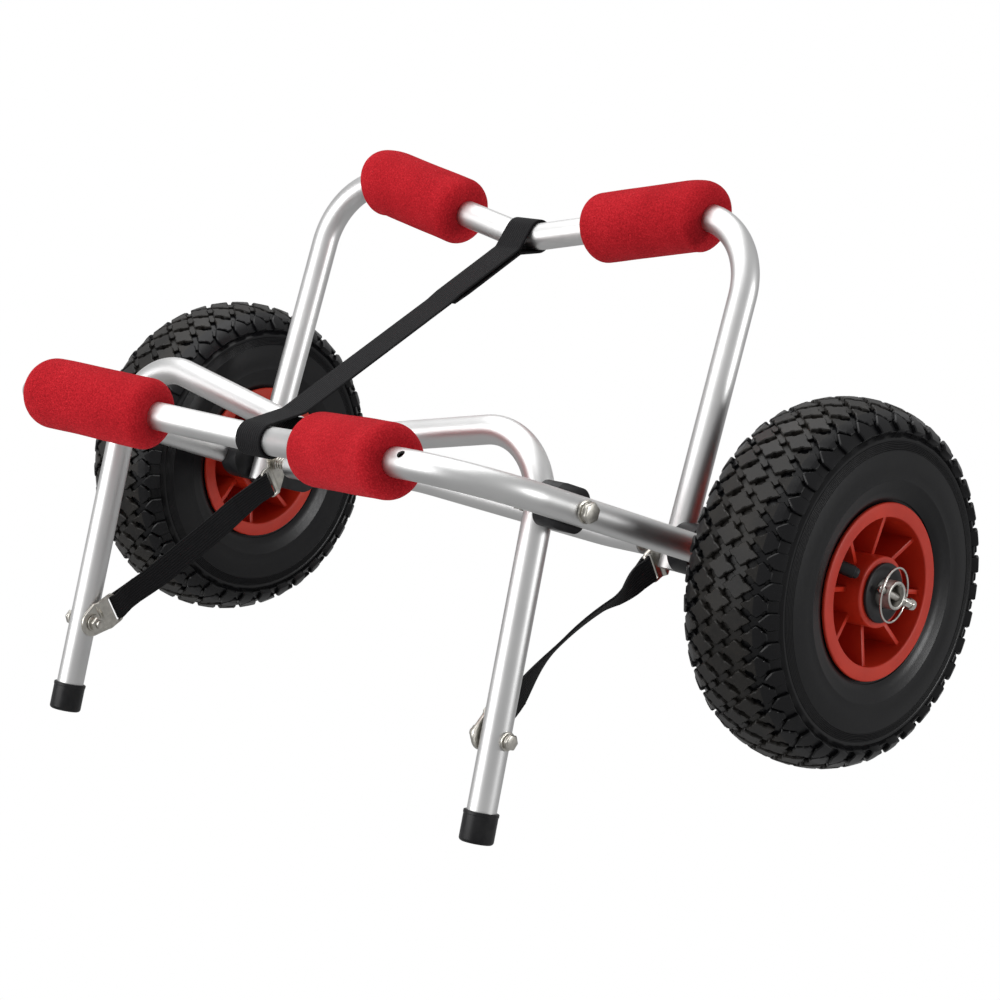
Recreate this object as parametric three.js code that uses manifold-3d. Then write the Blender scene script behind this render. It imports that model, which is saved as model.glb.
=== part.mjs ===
// Folding kayak cart: two padded tube frames hinged together, a kickstand and two
// pneumatic wheels on stub axles. Millimetres, +X to the right along the axles,
// +Y backwards, +Z up.
import * as THREE from "three";
import { mergeVertices } from "three/addons/utils/BufferGeometryUtils.js";
import Module from "manifold-3d";

const wasm = await Module();
wasm.setup();

// General fits
const GAP = 0.3; // between touching pieces
const OVERRUN = 2; // how far a cut runs past the face it opens
const WELD = 1e-4; // corners closer than this are one
const degrees = THREE.MathUtils.degToRad;

// Tube stock, the same for all frames
const TUBE_RADIUS = 10.25;
const TUBE_WALL = 1.8;
const TUBE_SIDES = 10;
const BORE_RADIUS = TUBE_RADIUS - TUBE_WALL;
const BEND_STEP = degrees(18);

// Side to side: the front arms are set from the middle of the cart, the rest from them
const FRONT_HALF = 249.6; // middle of the cart to the middle of a front arm
const REAR_INSIDE = 31.4; // middle of a rear arm, inside the front one's
const KICK_INSIDE = 30.3; // middle of a kickstand leg at its pivot, inside the front arm's
const BLOCK_INSIDE = 3.1; // outer face of blocks and saddles, inside the front arm's middle
const BOSS_OUTSIDE = 12.4; // face of the axle boss, outside the front arm's middle
const WHEEL_OUTSIDE = 69.4; // middle plane of a wheel, outside the front arm's middle
const NOSE_OUTSIDE = 53; // end of the axle, outside the wheel's middle plane
const REAR_HALF = FRONT_HALF - REAR_INSIDE;
const KICK_HALF = FRONT_HALF - KICK_INSIDE;
const BLOCK_FACE = FRONT_HALF - BLOCK_INSIDE;
const AXLE_BOSS_FACE = FRONT_HALF + BOSS_OUTSIDE;
const HALF_TRACK = FRONT_HALF + WHEEL_OUTSIDE;
const AXLE_NOSE = HALF_TRACK + NOSE_OUTSIDE;

// Wheel
const TYRE_RADIUS = 130;
const TYRE_WIDTH = 84.4;
const TYRE_WALL = 5;
const TREAD_DEPTH = 4.5;
// sidewall points, of half the width and of the height between the rim and the tread
const SIDEWALL_SHARES = [[0.97, 0.18], [1, 0.42], [0.9, 0.8]];
// tread points from the shoulder to the middle, of half the width and the tread's radius
const TREAD_SHARES = [[0.7, 0.96], [0.47, 0.985], [0.235, 0.997], [0, 1]];
const TREAD_BLOCKS = 20; // diamonds round the tyre, in staggered rows
const WHEEL_SIDES = 20; // of its turned pieces
const RIM_WIDTH = 78;
const RIM_FLANGE_RADIUS = 62.3;
const RIM_FLANGE_THICKNESS = 3;
const RIM_SEAT_RADIUS = 55.5;
const RIM_WALL = 3.5;
const WEB_THICKNESS = 5;
const RIB_THICKNESS = 3.4;
const RIB_RECESS = 5; // the ribs stop this far inside the rim's faces
const RIBS = 8;
const RIB_PHASE = degrees(29);
const HUB_RADIUS = 25;
const HUB_LENGTH = 79;
const HUB_RECESS = 11.5; // the ribs drop this far where they meet the hub
const BUSH_FLANGE_RADIUS = 21;
const BUSH_FLANGE = 2.5;
const BUSH_RADIUS = 13.5;
const BUSH_LENGTH = 22;
const VALVE_BAY_SHARE = 2.5; // ribs from the first to the valve
const VALVE_RADIUS = 3;
const VALVE_ROOT = 7; // of the stem, behind the face of the rim's well
const VALVE_LENGTH = 26;
const VALVE_CAP_RADIUS = 4.6;
const VALVE_CAP_LENGTH = 13;
const VALVE_OFFSET = 19; // where the stem leaves the rim's well, from the middle plane
const VALVE_TILT = degrees(45);
const INNER_TUBE_WALL = 1.5;
const INNER_TUBE_STEPS = 5;
const INNER_TUBE_SLIT = 1; // joint line of the tube's wall, left open on the rim side

// Axle, its spacer and its lock pin
const AXLE_RADIUS = 10;
const AXLE_WALL = 2.4;
const SPACER_RADIUS = 14;
const PIN_RADIUS = 2.6;
const PIN_FROM_NOSE = 5.5;
const PIN_TIP = 15.5; // beyond the axle's centre line
const PIN_COLLAR = 16; // where the pin's collar starts, from the axle's centre line
const PIN_COLLAR_RADIUS = 3.2;
const PIN_HEAD = 27; // outer end of the head, from the axle's centre line
const PIN_HEAD_RADIUS = 4.3;
const PIN_HEAD_LENGTH = 4;
const PIN_SLOPE = degrees(-31); // the pin points back and down
const RING_RADIUS = 19;
const RING_WIRE = 0.8;
const RING_HINGE = 18.5; // the ring's swivel, from the axle's centre line
const RING_TILT = degrees(9);
const PIN_SPRING_WIRE = 0.35; // radius
const PIN_SPRING_RADIUS = 3.5;
const PIN_SPRING_CURLS = 3;

// Side view: the two pivots. The rear pivot joins both padded frames.
const PIVOT_AHEAD = 48.5; // of the axles
const PIVOT_ABOVE = 21.8; // the axles
const FRONT_LEAN = degrees(64.2); // front frame, forwards from upright
const REAR_LEAN = degrees(26.2); // rear frame, backwards from upright

// Front frame
const FRONT_REACH = 206.5; // rear pivot to the lowest point of the crossbar
const FRONT_RISE_SHARE = 0.228; // of the crossbar, outwards
const FRONT_BEND = 60;
const AXLE_BOSS_RADIUS = 16.5;
const BLOCK_HALF_HEIGHT = 18;
const BLOCK_NOSE = 6.8; // centre of the block's rounded nose, ahead of the rear pivot
const FRONT_LEFT_PAD = { inside: 48.1, length: 107 }; // its outer end, from FRONT_HALF
const FRONT_RIGHT_PAD = { inside: 72.6, length: 107 };
const DRAIN_RADIUS = 3; // small hole on the outside of the right corner
const DRAIN_TURN = degrees(60); // round the tube, from straight back
const DRAIN_PLACE = 190; // along the tube from the middle of the crossbar

// Rear frame
const REAR_REACH = 205.9;
const REAR_RISE_SHARE = 0.2;
const REAR_BEND = 55;
const REAR_TAIL = 17; // of each arm, below the pivot
const REAR_LEFT_PAD = { inside: 39.2, length: 110 }; // its outer end, from REAR_HALF
const REAR_RIGHT_PAD = { inside: 41.7, length: 109.5 };

// Both crossbars
const VEE_FLAT = 28; // straight seat of the webbing, at the middle
const VEE_BEND = 40;

// Foam pads
const PAD_RADIUS = 26;
const PAD_ROUND = 9;
const PAD_SIDES = 12;

// Kickstand
const KICK_BELOW = 54.2; // its pivot, under the lowest point of the front crossbar
const KICK_SPLAY = degrees(0.74);
const KICK_RISE = 11.2; // pivot to the lowest point of its crossbar
const KICK_RISE_SHARE = 0.189;
const KICK_BEND = 51;
const KICK_LEAN = degrees(21.1716); // forwards and down, with its feet on the ground
const SADDLE_LENGTH = 45;
const SADDLE_HALF_HEIGHT = 18;
const SADDLE_CORNER = 10;
const CAP_LENGTH = 21.3;
const CAP_WALL = 1.4;
const CAP_FLOOR = 3;
const CAP_ROUND = 2.4;
const CAP_SIDES = 12;

// Cross brace between the rear pivots
const BRACE_STRAIGHT = 36; // of each end, in line with the pivot bolt
const BRACE_RISE = 55.8; // of its middle, from the line of the ends
const BRACE_SLOPE = degrees(33.4); // of that rise, forwards and up
const BRACE_BEND = 60;
const INSERT_LENGTH = 22;

// Bolts
const PIVOT_BOLT_RADIUS = 4;
const PIVOT_HEAD = 13; // across flats
const PIVOT_HEAD_HEIGHT = 5.3;
const PIVOT_NUT_HEIGHT = 6.5;
const PIVOT_WASHER_RADIUS = 8;
const LEG_BOLT_RADIUS = 3;
const LEG_HEAD = 10;
const LEG_HEAD_HEIGHT = 4;
const LEG_NUT_HEIGHT = 5;
const LEG_WASHER_RADIUS = 6.5;
const WASHER_THICKNESS = 1.4;
const THREAD_SHOWN = 2.5; // of a bolt beyond its nut

// Spring on each rear pivot bolt
const SPRING_WIRE = 0.8; // radius
const SPRING_RADIUS = 5.4;
const SPRING_CURLS = 5;
const SPRING_ROOM = 17.15; // between the brace and the anchor plate
const CURL_STEPS = 8;
const WIRE_SIDES = 5;

// Strap anchor plates: each is bolted through its eye and slotted at its other end,
// which is joggled inwards, clear of the tube. The leg strap pulls them into line.
const PLATE_THICKNESS = 2.5;
const PLATE_RIM = 1.9; // beside the slot
const PLATE_JOGGLE = 3;
const JOGGLE_START = 7.2; // from the bolt
const JOGGLE_LENGTH = 4;
const SLOT_WIDTH = 3.6;
const BAR_WIDTH = 3.7; // between the slot and the end of the plate
const UPPER_EYE_RADIUS = 12.5;
const LOWER_EYE_RADIUS = 10.5;
const UPPER_SLOT = 15.6; // bolt to slot, along the strap
const UPPER_SLOT_DROP = 8.8; // bolt to the slot's middle, across the strap
const LOWER_SLOT = 20;
const LEG_BOLT_RISE = 70.7; // sole of the foot to the bolt of the lower plate

// Webbing
const WEBBING = 1.7;
const HULL_STRAP_WIDTH = 25;
const LEG_STRAP_WIDTH = 20;
const LEG_STRAP_SAG = 5;
const SEWN_LENGTH = 22; // doubled part of a leg strap, at its upper end
const HULL_SEWN_LENGTH = 92; // doubled part of the hull strap, at the rear frame
const PLY_LAP = 5; // how far a ply runs into the loop it is sewn to
const LOOP_MEET_SHARE = 2.2; // where a loop's plies meet, of its radius round a tube
const BAR_MEET_SHARE = 3.2; // the same, round a plate's bar
const BAND_STEPS = 6;
const LOOP_STEPS = 10; // of the webbing round a bar

// Facets of turned and rounded pieces
const HEX_SIDES = 6;
const EYE_SIDES = 8; // of the smallest bores
const BOLT_SIDES = 10;
const PLATE_SIDES = 14;
const BUSH_SIDES = 14;
const SHAFT_SIDES = 16;
const EDGE_STEPS = 2; // of a rounded edge
const CORNER_STEPS = 3; // of a moulded corner
const NOSE_STEPS = 6; // of a moulded piece's round end
const RING_STEPS = 18;

// End of the cross brace: its spring pushes on the anchor plate beside the rear arm
const BRACE_END = REAR_HALF - TUBE_RADIUS - GAP - PLATE_THICKNESS - SPRING_ROOM;

// Placed in space: the rear pivot, and the kickstand's pivot along the front arms
const KICK_PLACE = FRONT_REACH - KICK_BELOW;
const REAR_PIVOT = new THREE.Vector3(0, -PIVOT_AHEAD, TYRE_RADIUS + PIVOT_ABOVE);
const frontAlong = new THREE.Vector3(0, -Math.sin(FRONT_LEAN), Math.cos(FRONT_LEAN));
const KICK_PIVOT = REAR_PIVOT.clone().addScaledVector(frontAlong, KICK_PLACE);
const CAP_RADIUS = TUBE_RADIUS + GAP + CAP_WALL;

// The kickstand is so long that the rounded edge of its caps stands on the ground.
function kickLength() {
  const height = KICK_PIVOT.z - CAP_ROUND;
  const across = CAP_RADIUS - CAP_ROUND;
  return CAP_ROUND + (height - across * Math.sin(KICK_LEAN)) / Math.cos(KICK_LEAN);
}
const KICK_LENGTH = kickLength();
const LEG_BOLT_DROP = KICK_LENGTH - LEG_BOLT_RISE;

// The leg straps run from the upper plates' slots to the leg bolts' plates.
const LEG_BOLT = new THREE.Vector3(0, -Math.sin(KICK_LEAN), -Math.cos(KICK_LEAN))
  .multiplyScalar(LEG_BOLT_DROP)
  .add(KICK_PIVOT);
function legStrapAngle() {
  const back = LEG_BOLT.y - REAR_PIVOT.y;
  const up = LEG_BOLT.z - REAR_PIVOT.z;
  return Math.atan2(up, back) - Math.asin(UPPER_SLOT_DROP / Math.hypot(back, up));
}
const LEG_STRAP_ANGLE = legStrapAngle();

const FINISH = {
  alloy: { color: 0xc9cbcd, roughness: 0.34, metalness: 0.9 },
  steel: { color: 0xb4b2ab, roughness: 0.3, metalness: 0.95 },
  foam: { color: 0xc0202c, roughness: 0.95, metalness: 0 },
  plastic: { color: 0x17181a, roughness: 0.45, metalness: 0 },
  redPlastic: { color: 0xb8261c, roughness: 0.4, metalness: 0 },
  rubber: { color: 0x101113, roughness: 0.6, metalness: 0 },
  tyre: { color: 0x1b1c1e, roughness: 0.62, metalness: 0 },
  webbing: { color: 0x0d0d0f, roughness: 0.85, metalness: 0 },
};

// Joining and cutting

function toSolid(geometry) {
  const bare = geometry.index ? geometry.toNonIndexed() : geometry.clone();
  bare.deleteAttribute("normal");
  bare.deleteAttribute("uv");
  const merged = mergeVertices(bare, WELD);
  return new wasm.Manifold(
    new wasm.Mesh({
      numProp: 3,
      vertProperties: new Float32Array(merged.attributes.position.array),
      triVerts: new Uint32Array(merged.index.array),
    }),
  );
}

function fromSolid(solid) {
  const mesh = solid.getMesh();
  const geometry = new THREE.BufferGeometry();
  const corners = new Float32Array(mesh.numVert * 3);
  for (let i = 0; i < mesh.numVert; i++) {
    corners.set(mesh.vertProperties.subarray(i * mesh.numProp, i * mesh.numProp + 3), i * 3);
  }
  geometry.setAttribute("position", new THREE.BufferAttribute(corners, 3));
  geometry.setIndex(new THREE.BufferAttribute(new Uint32Array(mesh.triVerts), 1));
  return geometry;
}

const join = (first, ...rest) =>
  fromSolid(rest.reduce((sum, g) => sum.add(toSolid(g)), toSolid(first)));
const cut = (first, ...rest) =>
  fromSolid(rest.reduce((left, g) => left.subtract(toSolid(g)), toSolid(first)));

// Basic shapes

// A body turned about the X axis. Its outline is a list of [place along X, radius].
function turned(outline, sides) {
  const points = outline.map(([place, radius]) => new THREE.Vector2(radius, place));
  return new THREE.LatheGeometry(points, sides).rotateZ(-Math.PI / 2);
}

// Radius of a faceted bore whose flats clear a round of the given radius
const clearing = (radius, sides) => radius / Math.cos(Math.PI / sides);

const rod = (from, to, radius, sides = BOLT_SIDES) =>
  turned([[from, 0], [from, radius], [to, radius], [to, 0]], sides);

const sleeve = (from, to, radius, bore, sides) =>
  turned([[from, bore], [from, radius], [to, radius], [to, bore], [from, bore]], sides);

// A flat outline in the YZ plane, made thick from one X to another.
function slab(points, from, to) {
  const shape = new THREE.Shape(points.map(([y, z]) => new THREE.Vector2(y, z)));
  const geometry = new THREE.ExtrudeGeometry(shape, { depth: to - from, bevelEnabled: false });
  // shape x, y and depth become Y, Z and X
  const turn = new THREE.Matrix4().set(0, 0, 1, from, 1, 0, 0, 0, 0, 1, 0, 0, 0, 0, 0, 1);
  return geometry.applyMatrix4(turn);
}

function arc(centre, radius, start, end, steps) {
  const points = [];
  for (let i = 0; i <= steps; i++) {
    const angle = start + ((end - start) * i) / steps;
    points.push([
      centre[0] + radius * Math.cos(angle),
      centre[1] + radius * Math.sin(angle),
    ]);
  }
  return points;
}

// A round-ended outline: two half circles of one radius joined by straight sides.
function stadium(first, second, radius, steps) {
  const heading = Math.atan2(second[1] - first[1], second[0] - first[0]);
  const quarter = Math.PI / 2;
  return [
    ...arc(second, radius, heading - quarter, heading + quarter, steps),
    ...arc(first, radius, heading + quarter, heading + 3 * quarter, steps),
  ];
}

// The outline of webbing that goes round a bar and meets itself at a point.
function teardrop(centre, radius, apex, steps) {
  const heading = Math.atan2(apex[1] - centre[1], apex[0] - centre[0]);
  const distance = Math.hypot(apex[1] - centre[1], apex[0] - centre[0]);
  const opening = Math.acos(radius / distance);
  const round = 2 * Math.PI - opening;
  return [...arc(centre, radius, heading + opening, heading + round, steps), apex];
}

// Routes of bent tubes, in the frame's own plane: X across, Z along its arms

class Route extends THREE.Curve {
  // corners: [x, z] of the straight lines, radii: the bend at each inner corner
  constructor(corners, radii) {
    super();
    const points = corners.map(([x, z]) => new THREE.Vector3(x, 0, z));
    this.stations = [{ point: points[0], tangent: heading(points[0], points[1]) }];
    for (let i = 1; i < points.length - 1; i++) this.addBend(points, i, radii[i - 1]);
    const last = points.length - 1;
    this.stations.push({ point: points[last], tangent: heading(points[last - 1], points[last]) });
    let travelled = 0;
    this.stations.forEach((station, i) => {
      if (i) travelled += station.point.distanceTo(this.stations[i - 1].point);
      station.place = travelled;
    });
    this.length = travelled;
  }

  addBend(points, i, radius) {
    const before = heading(points[i - 1], points[i]);
    const after = heading(points[i], points[i + 1]);
    const turn = before.angleTo(after);
    const back = radius * Math.tan(turn / 2);
    const start = points[i].clone().addScaledVector(before, -back);
    const side = after.clone().addScaledVector(before, -after.dot(before)).normalize();
    const centre = start.clone().addScaledVector(side, radius);
    const steps = Math.max(2, Math.ceil(turn / BEND_STEP));
    for (let k = 0; k <= steps; k++) {
      const angle = (turn * k) / steps;
      const point = centre
        .clone()
        .addScaledVector(side, -radius * Math.cos(angle))
        .addScaledVector(before, radius * Math.sin(angle));
      const tangent = before
        .clone()
        .multiplyScalar(Math.cos(angle))
        .addScaledVector(side, Math.sin(angle));
      this.stations.push({ point, tangent });
    }
  }

  station(share) {
    return this.stations[Math.round(share * (this.stations.length - 1))];
  }

  getPointAt(share) {
    return this.station(share).point.clone();
  }

  getTangentAt(share) {
    return this.station(share).tangent.clone();
  }

  // Centre line at a place along the tube, between stations by straight lines.
  at(place) {
    const next = Math.max(1, this.stations.findIndex((s) => s.place >= place - WELD));
    const a = this.stations[next - 1];
    const b = this.stations[next];
    const share = (place - a.place) / (b.place - a.place);
    return {
      point: a.point.clone().lerp(b.point, share),
      tangent: a.tangent.clone().lerp(b.tangent, share).normalize(),
    };
  }
}

function heading(from, to) {
  return to.clone().sub(from).normalize();
}

function polygon(radius, sides) {
  const points = [];
  for (let i = 0; i < sides; i++) {
    const angle = (2 * Math.PI * i) / sides;
    points.push(new THREE.Vector2(radius * Math.cos(angle), radius * Math.sin(angle)));
  }
  return points;
}

function bentTube(route) {
  const section = new THREE.Shape(polygon(TUBE_RADIUS, TUBE_SIDES));
  section.holes.push(new THREE.Path(polygon(BORE_RADIUS, TUBE_SIDES)));
  return new THREE.ExtrudeGeometry(section, {
    steps: route.stations.length - 1,
    extrudePath: route,
    bevelEnabled: false,
  });
}

// Bends a body built about the Y axis so that its axis follows the route.
function bendAlong(geometry, route, start) {
  const across = new THREE.Vector3(0, 1, 0);
  const places = geometry.attributes.position;
  for (let i = 0; i < places.count; i++) {
    const { point, tangent } = route.at(start + places.getY(i));
    const side = new THREE.Vector3().crossVectors(tangent, across);
    point.addScaledVector(side, places.getX(i)).addScaledVector(across, places.getZ(i));
    places.setXYZ(i, point.x, point.y, point.z);
  }
  return geometry;
}

// The route of a U-shaped frame with a shallow V in its crossbar.
function frameRoute({ half, foot, splay = 0, reach, riseShare, bend }) {
  const spread = Math.tan(splay);
  // where the arm's line meets the crossbar's
  const cornerX = (half - reach * spread) / (1 + riseShare * spread);
  const cornerZ = reach + riseShare * cornerX;
  const flat = VEE_FLAT / 2;
  const flatZ = reach + riseShare * flat;
  const footX = half - foot * spread;
  return new Route(
    [
      [-footX, foot],
      [-cornerX, cornerZ],
      [-flat, flatZ],
      [flat, flatZ],
      [cornerX, cornerZ],
      [footX, foot],
    ],
    [bend, VEE_BEND, VEE_BEND, bend],
  );
}

// Assembly helpers

const cart = new THREE.Group();

function add(group, name, geometry, finish) {
  const mesh = new THREE.Mesh(geometry, new THREE.MeshStandardMaterial(FINISH[finish]));
  mesh.name = name;
  group.add(mesh);
  return mesh;
}

const SIDES = [
  ["left", -1],
  ["right", 1],
];

// Mirrors a geometry made for the right side when it is wanted on the left.
function onSide(geometry, side) {
  if (side > 0) return geometry;
  const flipped = geometry.index ? geometry.toNonIndexed() : geometry.clone();
  flipped.scale(-1, 1, 1);
  const places = flipped.attributes.position;
  const a = new THREE.Vector3();
  const b = new THREE.Vector3();
  for (let i = 0; i < places.count; i += 3) {
    a.fromBufferAttribute(places, i);
    b.fromBufferAttribute(places, i + 1);
    places.setXYZ(i, b.x, b.y, b.z);
    places.setXYZ(i + 1, a.x, a.y, a.z);
  }
  return flipped;
}

// Front frame: tube, pads and the pieces fixed to its arms

const frontFrame = new THREE.Group();
frontFrame.position.copy(REAR_PIVOT);
frontFrame.rotation.x = FRONT_LEAN;
cart.add(frontFrame);

// the axle's centre in the front frame's own plane, as [y, z]
const axleInFront = new THREE.Vector3(0, 0, TYRE_RADIUS)
  .sub(REAR_PIVOT)
  .applyAxisAngle(new THREE.Vector3(1, 0, 0), -FRONT_LEAN);
const FRONT_FOOT = axleInFront.z + AXLE_BOSS_RADIUS + GAP + GAP;

const frontRoute = frameRoute({
  half: FRONT_HALF,
  foot: FRONT_FOOT,
  reach: FRONT_REACH,
  riseShare: FRONT_RISE_SHARE,
  bend: FRONT_BEND,
});
const rearRoute = frameRoute({
  half: REAR_HALF,
  foot: -REAR_TAIL,
  reach: REAR_REACH,
  riseShare: REAR_RISE_SHARE,
  bend: REAR_BEND,
});
const kickRoute = frameRoute({
  half: KICK_HALF,
  foot: -KICK_LENGTH + CAP_FLOOR + GAP,
  splay: KICK_SPLAY,
  reach: KICK_RISE,
  riseShare: KICK_RISE_SHARE,
  bend: KICK_BEND,
});

// A foam sleeve with rounded ends, on the tube between two places from its middle.
function foamPad(route, half, { inside, length }, side) {
  const bore = clearing(TUBE_RADIUS + GAP, PAD_SIDES);
  const outer = half - inside;
  const start = route.length / 2 + (side > 0 ? outer - length : -outer);
  // rings of the sleeve where the tube under it changes direction
  const rings = (margin) =>
    route.stations.map((s) => s.place - start).filter((p) => p > margin && p < length - margin);
  const rounded = (centre, from) =>
    arc([PAD_RADIUS - PAD_ROUND, centre], PAD_ROUND, from, from + Math.PI / 2, EDGE_STEPS);
  const outline = [
    [bore, 0],
    ...rounded(PAD_ROUND, -Math.PI / 2),
    ...rings(PAD_ROUND).map((place) => [PAD_RADIUS, place]),
    ...rounded(length - PAD_ROUND, 0),
    [bore, length],
    ...rings(GAP).reverse().map((place) => [bore, place]),
    [bore, 0],
  ];
  const points = outline.map(([radius, place]) => new THREE.Vector2(radius, place));
  return bendAlong(new THREE.LatheGeometry(points, PAD_SIDES), route, start);
}

const drainHole = () => {
  const { point } = frontRoute.at(frontRoute.length / 2 + DRAIN_PLACE);
  return rod(0, TUBE_RADIUS + OVERRUN, DRAIN_RADIUS)
    .rotateZ(Math.PI / 2)
    .rotateX(DRAIN_TURN)
    .translate(point.x, point.y, point.z);
};

const boltHole = (z, radius, from, to) => rod(from, to, radius + GAP).translate(0, 0, z);

function frontTube() {
  const reach = FRONT_HALF + TUBE_RADIUS + OVERRUN;
  const inner = FRONT_HALF - TUBE_RADIUS - OVERRUN;
  const holes = [drainHole()];
  for (const side of [-1, 1]) {
    const [from, to] = side > 0 ? [inner, reach] : [-reach, -inner];
    holes.push(boltHole(0, PIVOT_BOLT_RADIUS, from, to));
    holes.push(boltHole(KICK_PLACE, PIVOT_BOLT_RADIUS, from, to));
  }
  return cut(bentTube(frontRoute), ...holes);
}
add(frontFrame, "front_frame_tube", frontTube(), "alloy");
add(frontFrame, "front_left_pad", foamPad(frontRoute, FRONT_HALF, FRONT_LEFT_PAD, -1), "foam");
add(frontFrame, "front_right_pad", foamPad(frontRoute, FRONT_HALF, FRONT_RIGHT_PAD, 1), "foam");

// Round groove that seats the front arm in a moulded piece, along its own Z
const armGroove = (from, to) =>
  rod(from, to, TUBE_RADIUS + GAP, SHAFT_SIDES)
    .rotateY(-Math.PI / 2)
    .translate(FRONT_HALF, 0, 0);

const REAR_ARM_FACE = REAR_HALF + TUBE_RADIUS;
const REAR_INNER_FACE = REAR_HALF - TUBE_RADIUS;

// Moulded block between the two frames' arms. It carries the pivot bolt and the axle.
function rearBlock() {
  const inner = REAR_ARM_FACE + GAP;
  const axle = [axleInFront.y, axleInFront.z];
  const outline = stadium(axle, [0, BLOCK_NOSE], BLOCK_HALF_HEIGHT, NOSE_STEPS);
  const body = slab(outline, inner, BLOCK_FACE);
  const boss = rod(inner + GAP, AXLE_BOSS_FACE, AXLE_BOSS_RADIUS, SHAFT_SIDES);
  const nose = BLOCK_NOSE + BLOCK_HALF_HEIGHT + OVERRUN;
  const bore = rod(inner - OVERRUN, AXLE_BOSS_FACE + OVERRUN, AXLE_RADIUS + GAP, SHAFT_SIDES);
  return cut(
    join(body, boss.translate(0, ...axle)),
    armGroove(FRONT_FOOT - GAP, nose),
    boltHole(0, PIVOT_BOLT_RADIUS, inner - OVERRUN, BLOCK_FACE),
    bore.translate(0, ...axle),
  );
}

const kickOuterFace = KICK_HALF + TUBE_RADIUS;

// The kickstand's bend starts just below its pivot, so the nut there bears on the
// curve at the upper edge of its washer.
function kickNutFace() {
  const arm = kickRoute.stations.slice(kickRoute.stations.length / 2);
  const above = arm.findLastIndex(({ point }) => point.z > PIVOT_WASHER_RADIUS);
  const a = arm[above].point;
  const b = arm[above + 1].point;
  const share = (PIVOT_WASHER_RADIUS - a.z) / (b.z - a.z);
  return a.x + (b.x - a.x) * share - TUBE_RADIUS - GAP;
}

// Moulded saddle between a front arm and a kickstand leg
function frontSaddle() {
  const inner = kickOuterFace + GAP + GAP;
  const half = SADDLE_LENGTH / 2 - SADDLE_CORNER;
  const height = SADDLE_HALF_HEIGHT - SADDLE_CORNER;
  const quarter = Math.PI / 2;
  const corner = (y, z, start) => arc([y, z], SADDLE_CORNER, start, start + quarter, CORNER_STEPS);
  const outline = [
    ...corner(height, half, 0),
    ...corner(-height, half, quarter),
    ...corner(-height, -half, 2 * quarter),
    ...corner(height, -half, 3 * quarter),
  ];
  const reach = SADDLE_LENGTH / 2 + OVERRUN;
  return cut(
    slab(outline, inner, BLOCK_FACE),
    armGroove(-reach, reach),
    boltHole(0, PIVOT_BOLT_RADIUS, inner - OVERRUN, BLOCK_FACE),
  ).translate(0, 0, KICK_PLACE);
}

// Hexagonal prism along X
const hexagon = (from, to, acrossFlats) => rod(from, to, acrossFlats / Math.sqrt(3), HEX_SIDES);

// Bolt with a washer under its head, its shank running inwards from a tube's face
function bolt(face, tip, radius, washer, head, headHeight) {
  const seat = face + GAP;
  const crown = seat + WASHER_THICKNESS;
  return join(
    rod(tip, crown + GAP, radius),
    rod(seat, crown, washer),
    hexagon(crown - GAP, crown + headHeight, head),
  );
}

// Nut with a washer, bearing against a face on its outer side
function nut(face, radius, washer, size, height) {
  const seat = face - GAP;
  const inner = seat - WASHER_THICKNESS;
  const blank = join(rod(inner, seat, washer), hexagon(inner - height, inner + GAP, size));
  return cut(blank, rod(inner - height - OVERRUN, face, radius + GAP));
}

// A spring's wire wound about the X axis between two faces, one unbroken tube
function spring(from, to, radius, wire, curls, phase) {
  const straight = 2 * wire;
  const points = [new THREE.Vector3(from, 0, 0)];
  const steps = curls * CURL_STEPS;
  for (let i = 0; i <= steps; i++) {
    points.push(new THREE.Vector3(from + straight + ((to - from - 2 * straight) * i) / steps, 0, 0));
  }
  points.push(new THREE.Vector3(to, 0, 0));
  points.forEach((point, i) => {
    const turn = Math.min(Math.max(i - 1, 0), steps);
    const angle = phase + (2 * Math.PI * turn) / CURL_STEPS;
    point.y = radius * Math.cos(angle);
    point.z = radius * Math.sin(angle);
  });
  return { geometry: wireAlong(points, wire), gap: selfGap(points, wire) };
}

// Least distance between parts of a wire that are more than a third of a curl apart
function selfGap(points, wire) {
  const apart = Math.ceil(CURL_STEPS / 3) + 1;
  let least = Infinity;
  const line = new THREE.Line3();
  const near = new THREE.Vector3();
  for (let i = 0; i + 1 < points.length; i++) {
    line.set(points[i], points[i + 1]);
    for (let k = 0; k < points.length; k++) {
      if (Math.abs(k - i) <= apart) continue;
      line.closestPointToPoint(points[k], true, near);
      least = Math.min(least, near.distanceTo(points[k]) - 2 * wire);
    }
  }
  return least;
}

// The axis that a direction leans towards least
function leastAligned(direction) {
  const sizes = direction.toArray().map(Math.abs);
  const axis = sizes.indexOf(Math.min(...sizes));
  return new THREE.Vector3().setComponent(axis, 1);
}

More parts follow.
